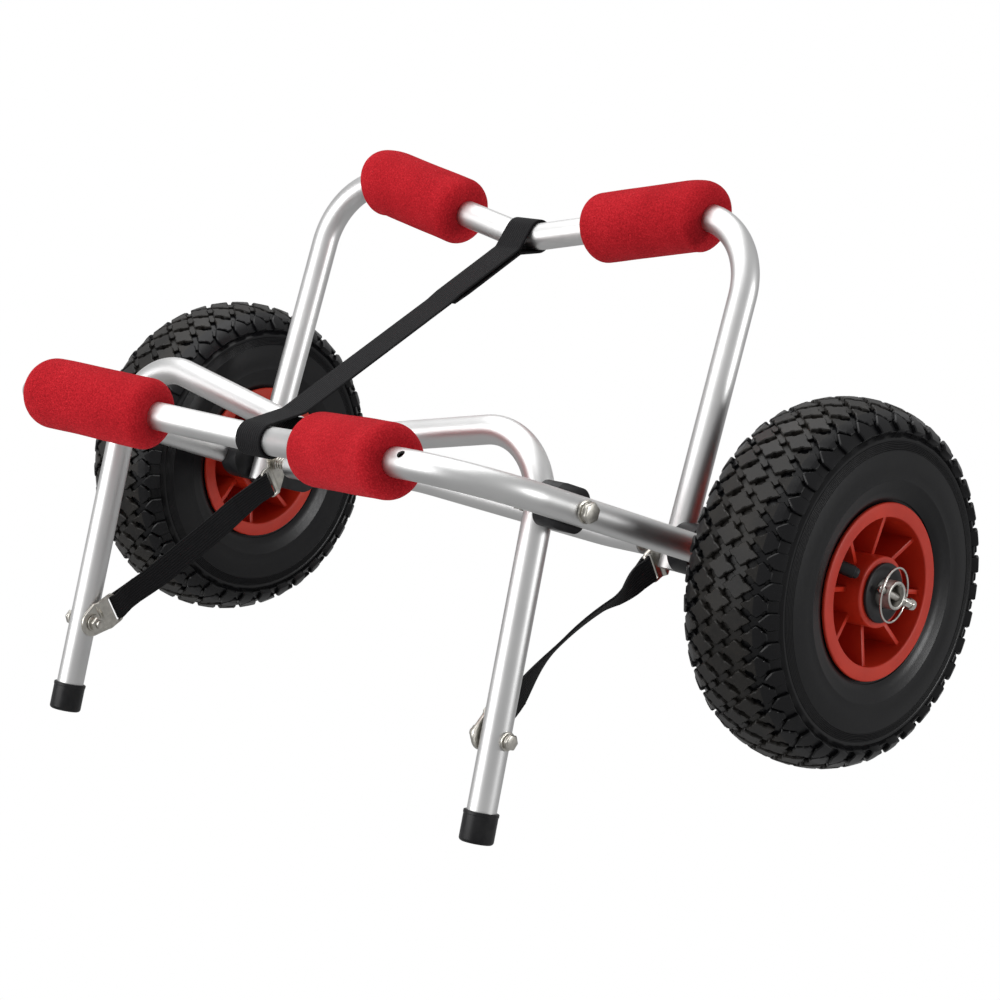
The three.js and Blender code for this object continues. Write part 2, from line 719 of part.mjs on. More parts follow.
// A closed tube of few sides through the points, its ends flat
function wireAlong(points, wire) {
  const count = points.length;
  const places = [];
  const faces = [];
  const normal = new THREE.Vector3();
  points.forEach((point, i) => {
    const before = points[Math.max(i - 1, 0)];
    const after = points[Math.min(i + 1, count - 1)];
    const tangent = heading(before, after);
    if (i === 0) normal.copy(leastAligned(tangent));
    normal.addScaledVector(tangent, -normal.dot(tangent)).normalize();
    const side = new THREE.Vector3().crossVectors(tangent, normal);
    for (let k = 0; k < WIRE_SIDES; k++) {
      const angle = (2 * Math.PI * k) / WIRE_SIDES;
      const place = point
        .clone()
        .addScaledVector(normal, wire * Math.cos(angle))
        .addScaledVector(side, wire * Math.sin(angle));
      places.push(place.x, place.y, place.z);
    }
  });
  for (let i = 0; i + 1 < count; i++) {
    for (let k = 0; k < WIRE_SIDES; k++) {
      const a = i * WIRE_SIDES + k;
      const b = i * WIRE_SIDES + ((k + 1) % WIRE_SIDES);
      faces.push(a, b, b + WIRE_SIDES, a, b + WIRE_SIDES, a + WIRE_SIDES);
    }
  }
  const last = (count - 1) * WIRE_SIDES;
  for (let k = 1; k + 1 < WIRE_SIDES; k++) {
    faces.push(0, k + 1, k);
    faces.push(last, last + k, last + k + 1);
  }
  const geometry = new THREE.BufferGeometry();
  geometry.setAttribute("position", new THREE.Float32BufferAttribute(places, 3));
  geometry.setIndex(faces);
  return geometry;
}

// Half the length of a slot that the leg strap fits
const SLOT_HALF = LEG_STRAP_WIDTH / 2 + GAP + GAP;

// A flat outline in Y and minus X, made thick from one Z to another
const onEdge = (points, from, to) => slab(points, from, to).rotateY(-Math.PI / 2);

// A joggled plate whose eye bears on a face. Its slot lies along Y and up by a rise.
function anchorPlate(face, eye, slotPlace, rise, boltRadius) {
  const outer = face - GAP;
  const inner = outer - PLATE_THICKNESS;
  const joggleEnd = JOGGLE_START + JOGGLE_LENGTH;
  const end = slotPlace + SLOT_WIDTH / 2 + BAR_WIDTH;
  const half = SLOT_HALF + PLATE_RIM;
  const strip = onEdge(
    [
      [0, -outer],
      [JOGGLE_START, -outer],
      [joggleEnd, PLATE_JOGGLE - outer],
      [end, PLATE_JOGGLE - outer],
      [end, PLATE_JOGGLE - inner],
      [joggleEnd, PLATE_JOGGLE - inner],
      [JOGGLE_START, -inner],
      [0, -inner],
    ],
    rise - half,
    rise + half,
  );
  const slot = slab(
    [
      [slotPlace - SLOT_WIDTH / 2, rise - SLOT_HALF],
      [slotPlace + SLOT_WIDTH / 2, rise - SLOT_HALF],
      [slotPlace + SLOT_WIDTH / 2, rise + SLOT_HALF],
      [slotPlace - SLOT_WIDTH / 2, rise + SLOT_HALF],
    ],
    inner - PLATE_JOGGLE - OVERRUN,
    outer + OVERRUN,
  );
  const hole = rod(inner - OVERRUN, face + OVERRUN, boltRadius + GAP);
  return cut(join(rod(inner, outer, eye, PLATE_SIDES), strip), slot, hole);
}

// The webbing goes round a plate's bar, this far from its slot's middle
const BAR_OFFSET = (SLOT_WIDTH + BAR_WIDTH) / 2;
const BAR_LOOP = Math.hypot(BAR_WIDTH, PLATE_THICKNESS) / 2 + GAP;

const upright = new THREE.Group(); // pieces of the front frame that are modelled upright
upright.position.copy(REAR_PIVOT);
cart.add(upright);

for (const [name, side] of SIDES) {
  add(frontFrame, `${name}_rear_block`, onSide(rearBlock(), side), "plastic");
  add(frontFrame, `${name}_front_saddle`, onSide(frontSaddle(), side), "plastic");
  const outer = FRONT_HALF + TUBE_RADIUS;
  const rearBolt = bolt(
    outer,
    BRACE_END - INSERT_LENGTH / 2,
    PIVOT_BOLT_RADIUS,
    PIVOT_WASHER_RADIUS,
    PIVOT_HEAD,
    PIVOT_HEAD_HEIGHT,
  );
  add(frontFrame, `${name}_rear_pivot_bolt`, onSide(rearBolt, side), "steel");
  const nutFace = kickNutFace();
  const kickBolt = bolt(
    outer,
    nutFace - WASHER_THICKNESS - PIVOT_NUT_HEIGHT - THREAD_SHOWN,
    PIVOT_BOLT_RADIUS,
    PIVOT_WASHER_RADIUS,
    PIVOT_HEAD,
    PIVOT_HEAD_HEIGHT,
  );
  kickBolt.translate(0, 0, KICK_PLACE);
  add(frontFrame, `${name}_front_pivot_bolt`, onSide(kickBolt, side), "steel");
  const kickNut = nut(
    nutFace,
    PIVOT_BOLT_RADIUS,
    PIVOT_WASHER_RADIUS,
    PIVOT_HEAD,
    PIVOT_NUT_HEIGHT,
  );
  kickNut.translate(0, 0, KICK_PLACE);
  add(frontFrame, `${name}_front_pivot_nut`, onSide(kickNut, side), "steel");
  const upperPlate = anchorPlate(
    REAR_INNER_FACE,
    UPPER_EYE_RADIUS,
    UPPER_SLOT,
    UPPER_SLOT_DROP,
    PIVOT_BOLT_RADIUS,
  ).rotateX(LEG_STRAP_ANGLE);
  add(upright, `${name}_upper_anchor_plate`, onSide(upperPlate, side), "steel");
  const coil = spring(
    BRACE_END + GAP,
    REAR_INNER_FACE - GAP - PLATE_THICKNESS - GAP,
    SPRING_RADIUS,
    SPRING_WIRE,
    SPRING_CURLS,
    0,
  );
  add(upright, `${name}_pivot_spring`, onSide(coil.geometry, side), "steel");
  if (side > 0) console.log(`pivot spring, least gap to itself: ${coil.gap.toFixed(2)} mm`);
}

// Cross brace: a bent tube between the rear pivot bolts, with a threaded insert in each end
const brace = new THREE.Group();
brace.rotation.x = Math.PI / 2 - BRACE_SLOPE;
upright.add(brace);
const braceRoute = new Route(
  [
    [-BRACE_END, 0],
    [-BRACE_END + BRACE_STRAIGHT, 0],
    [0, BRACE_RISE],
    [BRACE_END - BRACE_STRAIGHT, 0],
    [BRACE_END, 0],
  ],
  [BRACE_BEND, BRACE_BEND, BRACE_BEND],
);
add(brace, "cross_brace", bentTube(braceRoute), "alloy");
for (const [name, side] of SIDES) {
  const insert = sleeve(
    BRACE_END - INSERT_LENGTH,
    BRACE_END - GAP,
    BORE_RADIUS - GAP,
    PIVOT_BOLT_RADIUS + GAP,
    BOLT_SIDES,
  );
  add(brace, `${name}_brace_insert`, onSide(insert, side), "steel");
}

// Rear frame

const rearFrame = new THREE.Group();
rearFrame.position.copy(REAR_PIVOT);
rearFrame.rotation.x = -REAR_LEAN;
cart.add(rearFrame);

function rearTube() {
  const inner = REAR_INNER_FACE - OVERRUN;
  const outer = REAR_ARM_FACE + OVERRUN;
  return cut(
    bentTube(rearRoute),
    boltHole(0, PIVOT_BOLT_RADIUS, inner, outer),
    boltHole(0, PIVOT_BOLT_RADIUS, -outer, -inner),
  );
}
add(rearFrame, "rear_frame_tube", rearTube(), "alloy");
add(rearFrame, "rear_left_pad", foamPad(rearRoute, REAR_HALF, REAR_LEFT_PAD, -1), "foam");
add(rearFrame, "rear_right_pad", foamPad(rearRoute, REAR_HALF, REAR_RIGHT_PAD, 1), "foam");

// Kickstand

const kickstand = new THREE.Group();
kickstand.position.copy(KICK_PIVOT);
kickstand.rotation.x = -KICK_LEAN;
cart.add(kickstand);

const legMiddle = (drop) => KICK_HALF + drop * Math.tan(KICK_SPLAY);

function kickTube() {
  const holes = [];
  const drilled = [
    [0, PIVOT_BOLT_RADIUS],
    [LEG_BOLT_DROP, LEG_BOLT_RADIUS],
  ];
  for (const [drop, radius] of drilled) {
    const inner = legMiddle(drop) - TUBE_RADIUS - OVERRUN;
    const outer = legMiddle(drop) + TUBE_RADIUS + OVERRUN;
    holes.push(boltHole(-drop, radius, inner, outer));
    holes.push(boltHole(-drop, radius, -outer, -inner));
  }
  return cut(bentTube(kickRoute), ...holes);
}
add(kickstand, "kickstand_tube", kickTube(), "alloy");

// Rubber cap on a leg's end, a cup about the leg's own axis
function footCap() {
  const bore = clearing(TUBE_RADIUS + GAP, CAP_SIDES);
  const outline = [
    [0, 0],
    ...arc([CAP_ROUND, CAP_RADIUS - CAP_ROUND], CAP_ROUND, Math.PI, Math.PI / 2, EDGE_STEPS),
    [CAP_LENGTH, CAP_RADIUS],
    [CAP_LENGTH, bore],
    [CAP_FLOOR, bore],
    [CAP_FLOOR, 0],
  ];
  return turned(outline, CAP_SIDES)
    .rotateY(-Math.PI / 2)
    .rotateY(-KICK_SPLAY)
    .translate(legMiddle(KICK_LENGTH), 0, -KICK_LENGTH);
}

for (const [name, side] of SIDES) {
  add(kickstand, `${name}_foot_cap`, onSide(footCap(), side), "rubber");
  const middle = legMiddle(LEG_BOLT_DROP);
  const plateFace = middle - TUBE_RADIUS;
  const nutFace = plateFace - GAP - PLATE_THICKNESS;
  const legBolt = bolt(
    middle + TUBE_RADIUS,
    nutFace - WASHER_THICKNESS - LEG_NUT_HEIGHT - THREAD_SHOWN,
    LEG_BOLT_RADIUS,
    LEG_WASHER_RADIUS,
    LEG_HEAD,
    LEG_HEAD_HEIGHT,
  );
  const legNut = nut(nutFace, LEG_BOLT_RADIUS, LEG_WASHER_RADIUS, LEG_HEAD, LEG_NUT_HEIGHT);
  const lowerPlate = anchorPlate(
    plateFace,
    LOWER_EYE_RADIUS,
    LOWER_SLOT,
    0,
    LEG_BOLT_RADIUS,
  ).rotateX(LEG_STRAP_ANGLE + Math.PI + KICK_LEAN);
  for (const geometry of [legBolt, legNut, lowerPlate]) geometry.translate(0, 0, -LEG_BOLT_DROP);
  add(kickstand, `${name}_leg_bolt`, onSide(legBolt, side), "steel");
  add(kickstand, `${name}_leg_nut`, onSide(legNut, side), "steel");
  add(kickstand, `${name}_lower_anchor_plate`, onSide(lowerPlate, side), "steel");
}

// Webbing

// A band between two [y, z] points with a little sag, in the YZ plane
function bandOutline(first, second, thickness, sag) {
  const steps = sag ? BAND_STEPS : 1;
  const above = [];
  const below = [];
  const dy = second[0] - first[0];
  const dz = second[1] - first[1];
  const length = Math.hypot(dy, dz);
  for (let i = 0; i <= steps; i++) {
    const share = i / steps;
    const drop = 4 * sag * share * (1 - share);
    const slope = (4 * sag * (1 - 2 * share)) / length;
    const y = first[0] + dy * share;
    const z = first[1] + dz * share - drop;
    const normal = [-(dz - slope * length) / length, dy / length];
    const size = Math.hypot(...normal);
    const out = [(normal[0] / size) * (thickness / 2), (normal[1] / size) * (thickness / 2)];
    above.push([y + out[0], z + out[1]]);
    below.push([y - out[0], z - out[1]]);
  }
  return dy > 0 ? [...below, ...above.reverse()] : [...above, ...below.reverse()];
}

// A closed loop of webbing round a bar, meeting at the apex
function strapLoop(centre, radius, apex, from, to) {
  const outer = slab(teardrop(centre, radius + WEBBING, apex, LOOP_STEPS), from, to);
  const away = Math.hypot(apex[0] - centre[0], apex[1] - centre[1]);
  const share = (away - 2 * WEBBING) / away;
  const tip = [
    centre[0] + (apex[0] - centre[0]) * share,
    centre[1] + (apex[1] - centre[1]) * share,
  ];
  const inner = slab(teardrop(centre, radius, tip, LOOP_STEPS), from - OVERRUN, to + OVERRUN);
  return cut(outer, inner);
}

function towards(from, to, distance) {
  const length = Math.hypot(to[0] - from[0], to[1] - from[1]);
  return [
    from[0] + ((to[0] - from[0]) * distance) / length,
    from[1] + ((to[1] - from[1]) * distance) / length,
  ];
}

// middle of a crossbar's flat seat, as [y, z] in space
function seatOf(group, reach, riseShare) {
  group.updateMatrixWorld(true);
  const seat = new THREE.Vector3(0, 0, reach + (riseShare * VEE_FLAT) / 2);
  seat.applyMatrix4(group.matrixWorld);
  return [seat.y, seat.z];
}

function hullStrap() {
  const rear = seatOf(rearFrame, REAR_REACH, REAR_RISE_SHARE);
  const front = seatOf(frontFrame, FRONT_REACH, FRONT_RISE_SHARE);
  const radius = clearing(TUBE_RADIUS + GAP, LOOP_STEPS);
  const meet = LOOP_MEET_SHARE * radius;
  const rearApex = towards(rear, front, meet);
  const frontApex = towards(front, rear, meet);
  const half = HULL_STRAP_WIDTH / 2;
  const sewnEnd = towards(rear, front, HULL_SEWN_LENGTH);
  const rearStart = towards(rear, front, meet - PLY_LAP);
  const frontStart = towards(front, rear, meet - PLY_LAP);
  const doubled = bandOutline(rearStart, sewnEnd, 2 * WEBBING, 0);
  const single = bandOutline(rearStart, frontStart, WEBBING, 0);
  return join(
    strapLoop(rear, radius, rearApex, -half, half),
    strapLoop(front, radius, frontApex, -half, half),
    slab(doubled, -half, half),
    slab(single, -half, half),
  );
}
add(cart, "hull_strap", hullStrap(), "webbing");

// Drawn along Y from the upper plate's bar, with its faces to the sides
function legStrap() {
  const span = Math.hypot(LEG_BOLT.y - REAR_PIVOT.y, LEG_BOLT.z - REAR_PIVOT.z);
  const upperPlace = UPPER_SLOT + BAR_OFFSET;
  const lowerPlace = LOWER_SLOT + BAR_OFFSET;
  const length = Math.sqrt(span ** 2 - UPPER_SLOT_DROP ** 2) - upperPlace - lowerPlace;
  const inset = GAP + PLATE_JOGGLE + PLATE_THICKNESS / 2;
  const upper = [0, inset - REAR_INNER_FACE];
  const lower = [length, inset - (legMiddle(LEG_BOLT_DROP) - TUBE_RADIUS)];
  const from = -LEG_STRAP_WIDTH / 2;
  const to = LEG_STRAP_WIDTH / 2;
  const meet = BAR_MEET_SHARE * BAR_LOOP;
  const upperApex = towards(upper, lower, meet);
  const lowerApex = towards(lower, upper, meet);
  const upperStart = towards(upper, lower, meet - PLY_LAP);
  const lowerStart = towards(lower, upper, meet - PLY_LAP);
  const sewnEnd = towards(upper, lower, meet + SEWN_LENGTH);
  return join(
    strapLoop(upper, BAR_LOOP, upperApex, from, to),
    strapLoop(lower, BAR_LOOP, lowerApex, from, to),
    slab(bandOutline(upperStart, sewnEnd, 2 * WEBBING, 0), from, to),
    slab(bandOutline(upperStart, lowerStart, WEBBING, -LEG_STRAP_SAG), from, to),
  )
    .rotateY(-Math.PI / 2)
    .translate(0, upperPlace, UPPER_SLOT_DROP)
    .rotateX(LEG_STRAP_ANGLE)
    .translate(0, REAR_PIVOT.y, REAR_PIVOT.z);
}
for (const [name, side] of SIDES) {
  add(cart, `${name}_leg_strap`, onSide(legStrap(), side), "webbing");
}

// Wheels

const HALF_RIM = RIM_WIDTH / 2;
const HALF_HUB = HUB_LENGTH / 2;

// Half of the tyre's section as lists of [place, radius]: its outer side from the bead
// up, its tread from the shoulder to the middle, and its inner face
function tyreOutline() {
  const half = TYRE_WIDTH / 2;
  const floor = TYRE_RADIUS - TREAD_DEPTH;
  const bead = HALF_RIM - RIM_FLANGE_THICKNESS - GAP;
  const beadRadius = RIM_SEAT_RADIUS + GAP;
  const lip = RIM_FLANGE_RADIUS + GAP;
  const height = floor - lip;
  const wall = SIDEWALL_SHARES.map(([wide, high]) => [half * wide, lip + height * high]);
  const side = [[bead, beadRadius], [bead, lip], ...wall];
  const tread = TREAD_SHARES.map(([wide, high]) => [half * wide, floor * high]);
  const [shoulder, shoulderRadius] = tread[0];
  const inner = [
    [bead - TYRE_WALL, beadRadius],
    [half - TYRE_WALL, wall[1][1]],
    [shoulder - TYRE_WALL / 2, shoulderRadius - TYRE_WALL],
  ];
  return { side, tread, inner };
}

function tyre() {
  const { side, tread, inner } = tyreOutline();
  const steps = 2 * TREAD_BLOCKS;
  const columns = [];
  for (const [place, radius] of side) columns.push({ place: -place, radius });
  tread.forEach(([place, radius], i) => columns.push({ place: -place, radius, row: i }));
  const mirrored = tread.slice(0, -1).reverse();
  mirrored.forEach(([place, radius], i) => columns.push({ place, radius, row: tread.length + i }));
  for (const [place, radius] of [...side].reverse()) columns.push({ place, radius });
  for (const [place, radius] of inner) columns.push({ place, radius });
  for (const [place, radius] of [...inner].reverse()) columns.push({ place: -place, radius });
  return ringGrid(columns, steps, TREAD_DEPTH);
}

// A ring about the X axis whose section is the closed list of columns. Columns with a row
// number rise on every other step, row by row in turn, which makes staggered diamonds.
function ringGrid(columns, steps, rise) {
  const places = [];
  const faces = [];
  const count = columns.length;
  for (let i = 0; i < steps; i++) {
    const angle = -Math.PI / 2 + (2 * Math.PI * i) / steps;
    for (const { place, radius, row } of columns) {
      const raised = row !== undefined && (row + i) % 2 === 1 ? rise : 0;
      places.push(place, (radius + raised) * Math.cos(angle), (radius + raised) * Math.sin(angle));
    }
  }
  for (let i = 0; i < steps; i++) {
    for (let k = 0; k < count; k++) {
      const a = i * count + k;
      const b = i * count + ((k + 1) % count);
      const c = ((i + 1) % steps) * count + ((k + 1) % count);
      const d = ((i + 1) % steps) * count + k;
      const row = columns[k].row;
      if (row !== undefined && (row + i) % 2 === 0) faces.push(a, c, b, a, d, c);
      else faces.push(a, d, b, b, d, c);
    }
  }
  const geometry = new THREE.BufferGeometry();
  geometry.setAttribute("position", new THREE.Float32BufferAttribute(places, 3));
  geometry.setIndex(faces);
  return geometry;
}

// Inner tube: a thin ring inside the tyre, on the rim's seat
function innerTube() {
  const { side, inner } = tyreOutline();
  const reach = inner[0][0] - GAP;
  const top = inner[2][1] - GAP - GAP;
  const bottom = side[0][1] + GAP;
  const middle = (top + bottom) / 2;
  const high = (top - bottom) / 2;
  const start = Math.asin(INNER_TUBE_SLIT / 2 / reach);
  const ring = (shrink, from, to) => {
    const points = [];
    for (let i = 0; i <= INNER_TUBE_STEPS; i++) {
      const angle = from + ((to - from) * i) / INNER_TUBE_STEPS;
      points.push([
        (reach - shrink) * Math.sin(angle),
        middle - (high - shrink) * Math.cos(angle),
      ]);
    }
    return points;
  };
  const outer = ring(0, start, 2 * Math.PI - start);
  const inside = ring(INNER_TUBE_WALL, 2 * Math.PI - start, start);
  return turned([...outer, ...inside, outer[0]].reverse(), WHEEL_SIDES);
}

// Valve frame: its axis leaves the rim's well outwards and towards the hub
const VALVE_ANGLE = RIB_PHASE + (2 * Math.PI * VALVE_BAY_SHARE) / RIBS;
function onValve(geometry) {
  // built along +X from the seat, tilted from straight outwards towards the hub
  return geometry
    .rotateZ(-Math.PI / 2 + VALVE_TILT)
    .translate(VALVE_OFFSET, RIM_SEAT_RADIUS - RIM_WALL, 0)
    .rotateX(VALVE_ANGLE);
}

function rim() {
  const half = HALF_RIM;
  const flange = half - RIM_FLANGE_THICKNESS;
  const pocket = RIM_SEAT_RADIUS - RIM_WALL;
  const web = WEB_THICKNESS / 2;
  const bore = BUSH_RADIUS + GAP;
  const right = [
    [web, HUB_RADIUS],
    [web, pocket],
    [half, pocket],
    [half, RIM_FLANGE_RADIUS],
    [flange, RIM_FLANGE_RADIUS],
    [flange, RIM_SEAT_RADIUS],
  ];
  const left = right.map(([place, radius]) => [-place, radius]);
  const outline = [
    [-HALF_HUB, bore],
    [-HALF_HUB, HUB_RADIUS],
    ...left,
    ...[...right].reverse(),
    [HALF_HUB, HUB_RADIUS],
    [HALF_HUB, bore],
    [-HALF_HUB, bore],
  ];
  const body = turned(outline, WHEEL_SIDES);
  const ribs = [];
  const reach = half - RIB_RECESS;
  const hubReach = half - HUB_RECESS;
  for (let i = 0; i < RIBS; i++) {
    const sheet = new THREE.Shape(
      [
        [hubReach, HUB_RADIUS - RIM_WALL],
        [reach, pocket + RIM_WALL / 2],
        [-reach, pocket + RIM_WALL / 2],
        [-hubReach, HUB_RADIUS - RIM_WALL],
      ].map(([x, y]) => new THREE.Vector2(x, y)),
    );
    const rib = new THREE.ExtrudeGeometry(sheet, { depth: RIB_THICKNESS, bevelEnabled: false });
    ribs.push(rib.translate(0, 0, -RIB_THICKNESS / 2).rotateX(RIB_PHASE + (2 * Math.PI * i) / RIBS));
  }
  const valveHole = onValve(rod(-VALVE_ROOT - OVERRUN, VALVE_ROOT, VALVE_RADIUS + GAP, EYE_SIDES));
  return cut(join(body, ...ribs), valveHole);
}

function hubBush(side) {
  const face = HALF_HUB + GAP;
  const bore = AXLE_RADIUS + GAP;
  const outline = [
    [HALF_HUB - BUSH_LENGTH, bore],
    [HALF_HUB - BUSH_LENGTH, BUSH_RADIUS],
    [face, BUSH_RADIUS],
    [face, BUSH_FLANGE_RADIUS],
    [face + BUSH_FLANGE, BUSH_FLANGE_RADIUS],
    [face + BUSH_FLANGE, bore],
    [HALF_HUB - BUSH_LENGTH, bore],
  ];
  return onSide(turned(outline, BUSH_SIDES), side);
}

const WHEEL_INNER_FACE = HALF_TRACK - HALF_HUB - GAP - BUSH_FLANGE;
const PIN_PLACE = AXLE_NOSE - PIN_FROM_NOSE;

// The lock pin's frame: X of the part becomes the pin's own axis, away from the axle
const alongPin = (geometry) => geometry.rotateZ(Math.PI / 2).rotateX(PIN_SLOPE);

function axle() {
  const inner = REAR_ARM_FACE + GAP + GAP;
  const hole = alongPin(rod(-AXLE_RADIUS - OVERRUN, AXLE_RADIUS + OVERRUN, PIN_RADIUS + GAP));
  const body = sleeve(inner, AXLE_NOSE, AXLE_RADIUS, AXLE_RADIUS - AXLE_WALL, SHAFT_SIDES);
  return cut(body, hole.translate(PIN_PLACE, 0, 0));
}

// Quick-release pin: plain shank, collar bored for the ring, and a head
function lockPin() {
  const neck = PIN_HEAD - PIN_HEAD_LENGTH;
  const blank = turned(
    [
      [-PIN_TIP, 0],
      [-PIN_TIP, PIN_RADIUS / 2],
      [-PIN_TIP + PIN_RADIUS / 2, PIN_RADIUS],
      [PIN_COLLAR, PIN_RADIUS],
      [PIN_COLLAR, PIN_COLLAR_RADIUS],
      [neck, PIN_COLLAR_RADIUS],
      [neck, PIN_HEAD_RADIUS],
      [PIN_HEAD, PIN_HEAD_RADIUS],
      [PIN_HEAD, 0],
    ],
    BOLT_SIDES,
  );
  const eye = PIN_COLLAR_RADIUS + OVERRUN;
  const hole = rod(-eye, eye, RING_WIRE + GAP, EYE_SIDES).rotateY(Math.PI / 2);
  return alongPin(cut(blank, hole.translate(RING_HINGE, 0, 0)));
}

// Wire ring, its ends turned into the pin's eye from both sides
function lockRing() {
  const points = [];
  const stub = PIN_COLLAR_RADIUS - GAP;
  const entry = Math.asin((PIN_COLLAR_RADIUS + RING_WIRE + GAP) / RING_RADIUS);
  const hinge = (z) => new THREE.Vector3(RING_HINGE, 0, z);
  points.push(hinge(GAP));
  points.push(hinge(stub));
  for (let i = 0; i <= RING_STEPS; i++) {
    const angle = entry + ((2 * Math.PI - 2 * entry) * i) / RING_STEPS;
    const along = -RING_RADIUS * (1 - Math.cos(angle));
    const across = RING_RADIUS * Math.sin(angle);
    points.push(
      new THREE.Vector3(
        RING_HINGE + along * Math.cos(RING_TILT),
        along * Math.sin(RING_TILT),
        across,
      ),
    );
  }
  points.push(hinge(-stub));
  points.push(hinge(-GAP));
  return points;
}

for (const [name, side] of SIDES) {
  const wheel = new THREE.Group();
  wheel.position.set(side * HALF_TRACK, 0, TYRE_RADIUS);
  cart.add(wheel);
  add(wheel, `${name}_tyre`, onSide(tyre(), side), "tyre");
  add(wheel, `${name}_inner_tube`, onSide(innerTube(), side), "rubber");
  add(wheel, `${name}_rim`, onSide(rim(), side), "redPlastic");
  add(wheel, `${name}_outer_bush`, hubBush(side), "plastic");
  add(wheel, `${name}_inner_bush`, hubBush(-side), "plastic");
  const capStart = VALVE_LENGTH - VALVE_CAP_LENGTH;
  const stem = onValve(rod(-VALVE_ROOT, VALVE_LENGTH, VALVE_RADIUS));
  const cap = onValve(
    turned(
      [
        [capStart, VALVE_RADIUS + GAP],
        [capStart, VALVE_CAP_RADIUS],
        [VALVE_LENGTH + GAP + VALVE_RADIUS, VALVE_CAP_RADIUS],
        [VALVE_LENGTH + GAP + VALVE_RADIUS, 0],
        [VALVE_LENGTH + GAP, 0],
        [VALVE_LENGTH + GAP, VALVE_RADIUS + GAP],
        [capStart, VALVE_RADIUS + GAP],
      ],
      BOLT_SIDES,
    ),
  );
  add(wheel, `${name}_valve_stem`, onSide(stem, side), "steel");
  add(wheel, `${name}_valve_cap`, onSide(cap, side), "plastic");

  const shaft = new THREE.Group();
  shaft.position.set(0, 0, TYRE_RADIUS);
  cart.add(shaft);
  add(shaft, `${name}_axle`, onSide(axle(), side), "steel");
  const spacer = sleeve(
    AXLE_BOSS_FACE + GAP,
    WHEEL_INNER_FACE - GAP,
    SPACER_RADIUS,
    AXLE_RADIUS + GAP,
    SHAFT_SIDES,
  );
  add(shaft, `${name}_axle_spacer`, onSide(spacer, side), "plastic");
  const place = (geometry) => onSide(geometry.translate(PIN_PLACE, 0, 0), side);
  add(shaft, `${name}_lock_pin`, place(lockPin()), "steel");
  const ring = alongPin(wireAlong(lockRing(), RING_WIRE));
  add(shaft, `${name}_lock_ring`, place(ring), "steel");
  const pinSpring = spring(
    AXLE_RADIUS + GAP,
    PIN_COLLAR - GAP,
    PIN_SPRING_RADIUS,
    PIN_SPRING_WIRE,
    PIN_SPRING_CURLS,
    0,
  );
  add(shaft, `${name}_pin_spring`, place(alongPin(pinSpring.geometry)), "steel");
  if (side > 0) console.log(`pin spring, least gap to itself: ${pinSpring.gap.toFixed(2)} mm`);
}

// The origin is the middle of the cart's footprint, on the ground
cart.updateMatrixWorld(true);
const box = new THREE.Box3().setFromObject(cart, true);
const middle = box.getCenter(new THREE.Vector3());
cart.position.set(-middle.x, -middle.y, -box.min.z);

export default cart;
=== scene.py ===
# A folding kayak cart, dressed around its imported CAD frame, in metres.
import math

import bmesh
import bpy
from bmesh.types import BMEdge, BMVert
from mathutils import Matrix, Vector, noise


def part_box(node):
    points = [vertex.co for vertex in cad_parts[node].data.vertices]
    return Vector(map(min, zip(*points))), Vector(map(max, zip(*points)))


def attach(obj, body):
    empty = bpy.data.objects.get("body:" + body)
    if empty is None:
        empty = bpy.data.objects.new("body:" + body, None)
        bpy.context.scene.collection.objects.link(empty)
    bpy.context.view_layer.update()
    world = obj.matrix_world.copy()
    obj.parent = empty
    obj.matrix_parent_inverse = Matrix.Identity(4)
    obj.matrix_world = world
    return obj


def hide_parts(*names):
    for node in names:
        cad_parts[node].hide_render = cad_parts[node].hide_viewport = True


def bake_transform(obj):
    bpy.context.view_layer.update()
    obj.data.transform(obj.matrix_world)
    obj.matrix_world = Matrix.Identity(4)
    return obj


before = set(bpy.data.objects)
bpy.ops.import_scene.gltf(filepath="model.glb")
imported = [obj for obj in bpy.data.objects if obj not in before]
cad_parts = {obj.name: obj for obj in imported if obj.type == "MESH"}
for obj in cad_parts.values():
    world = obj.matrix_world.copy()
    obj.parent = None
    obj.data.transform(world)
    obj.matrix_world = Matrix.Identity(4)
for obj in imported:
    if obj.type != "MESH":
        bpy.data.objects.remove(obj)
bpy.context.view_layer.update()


# The camera stands to the right of the cart's front, a little above it and slightly
# tilted. Its place is measured from the middle of the wheels' axis.
tyre_low, tyre_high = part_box("right_tyre")
AXLE = Vector((0, (tyre_low.y + tyre_high.y) / 2, (tyre_low.z + tyre_high.z) / 2))
CAMERA_FROM_AXLE = Vector((1.49143, -1.49543, 0.6082))
AZIMUTH = math.radians(44.998)
ELEVATION = math.radians(15.802)
ROLL = math.radians(-3.508)
FOCAL_LENGTH = 102.912
SENSOR_WIDTH = 36

level = Vector((math.cos(AZIMUTH), math.sin(AZIMUTH), 0))
back = Vector((math.sin(AZIMUTH), -math.cos(AZIMUTH), 0)) * math.cos(ELEVATION)
back.z = math.sin(ELEVATION)
above = back.cross(level)
right = level * math.cos(ROLL) + above * math.sin(ROLL)
up = above * math.cos(ROLL) - level * math.sin(ROLL)
lens = bpy.data.cameras.new("camera")
lens.lens = FOCAL_LENGTH
lens.sensor_width = SENSOR_WIDTH
lens.clip_end = 20
camera = bpy.data.objects.new("camera", lens)
camera.matrix_world = Matrix((right, up, back)).transposed().to_4x4()
camera.location = AXLE + CAMERA_FROM_AXLE
bpy.context.scene.collection.objects.link(camera)
bpy.context.scene.camera = camera


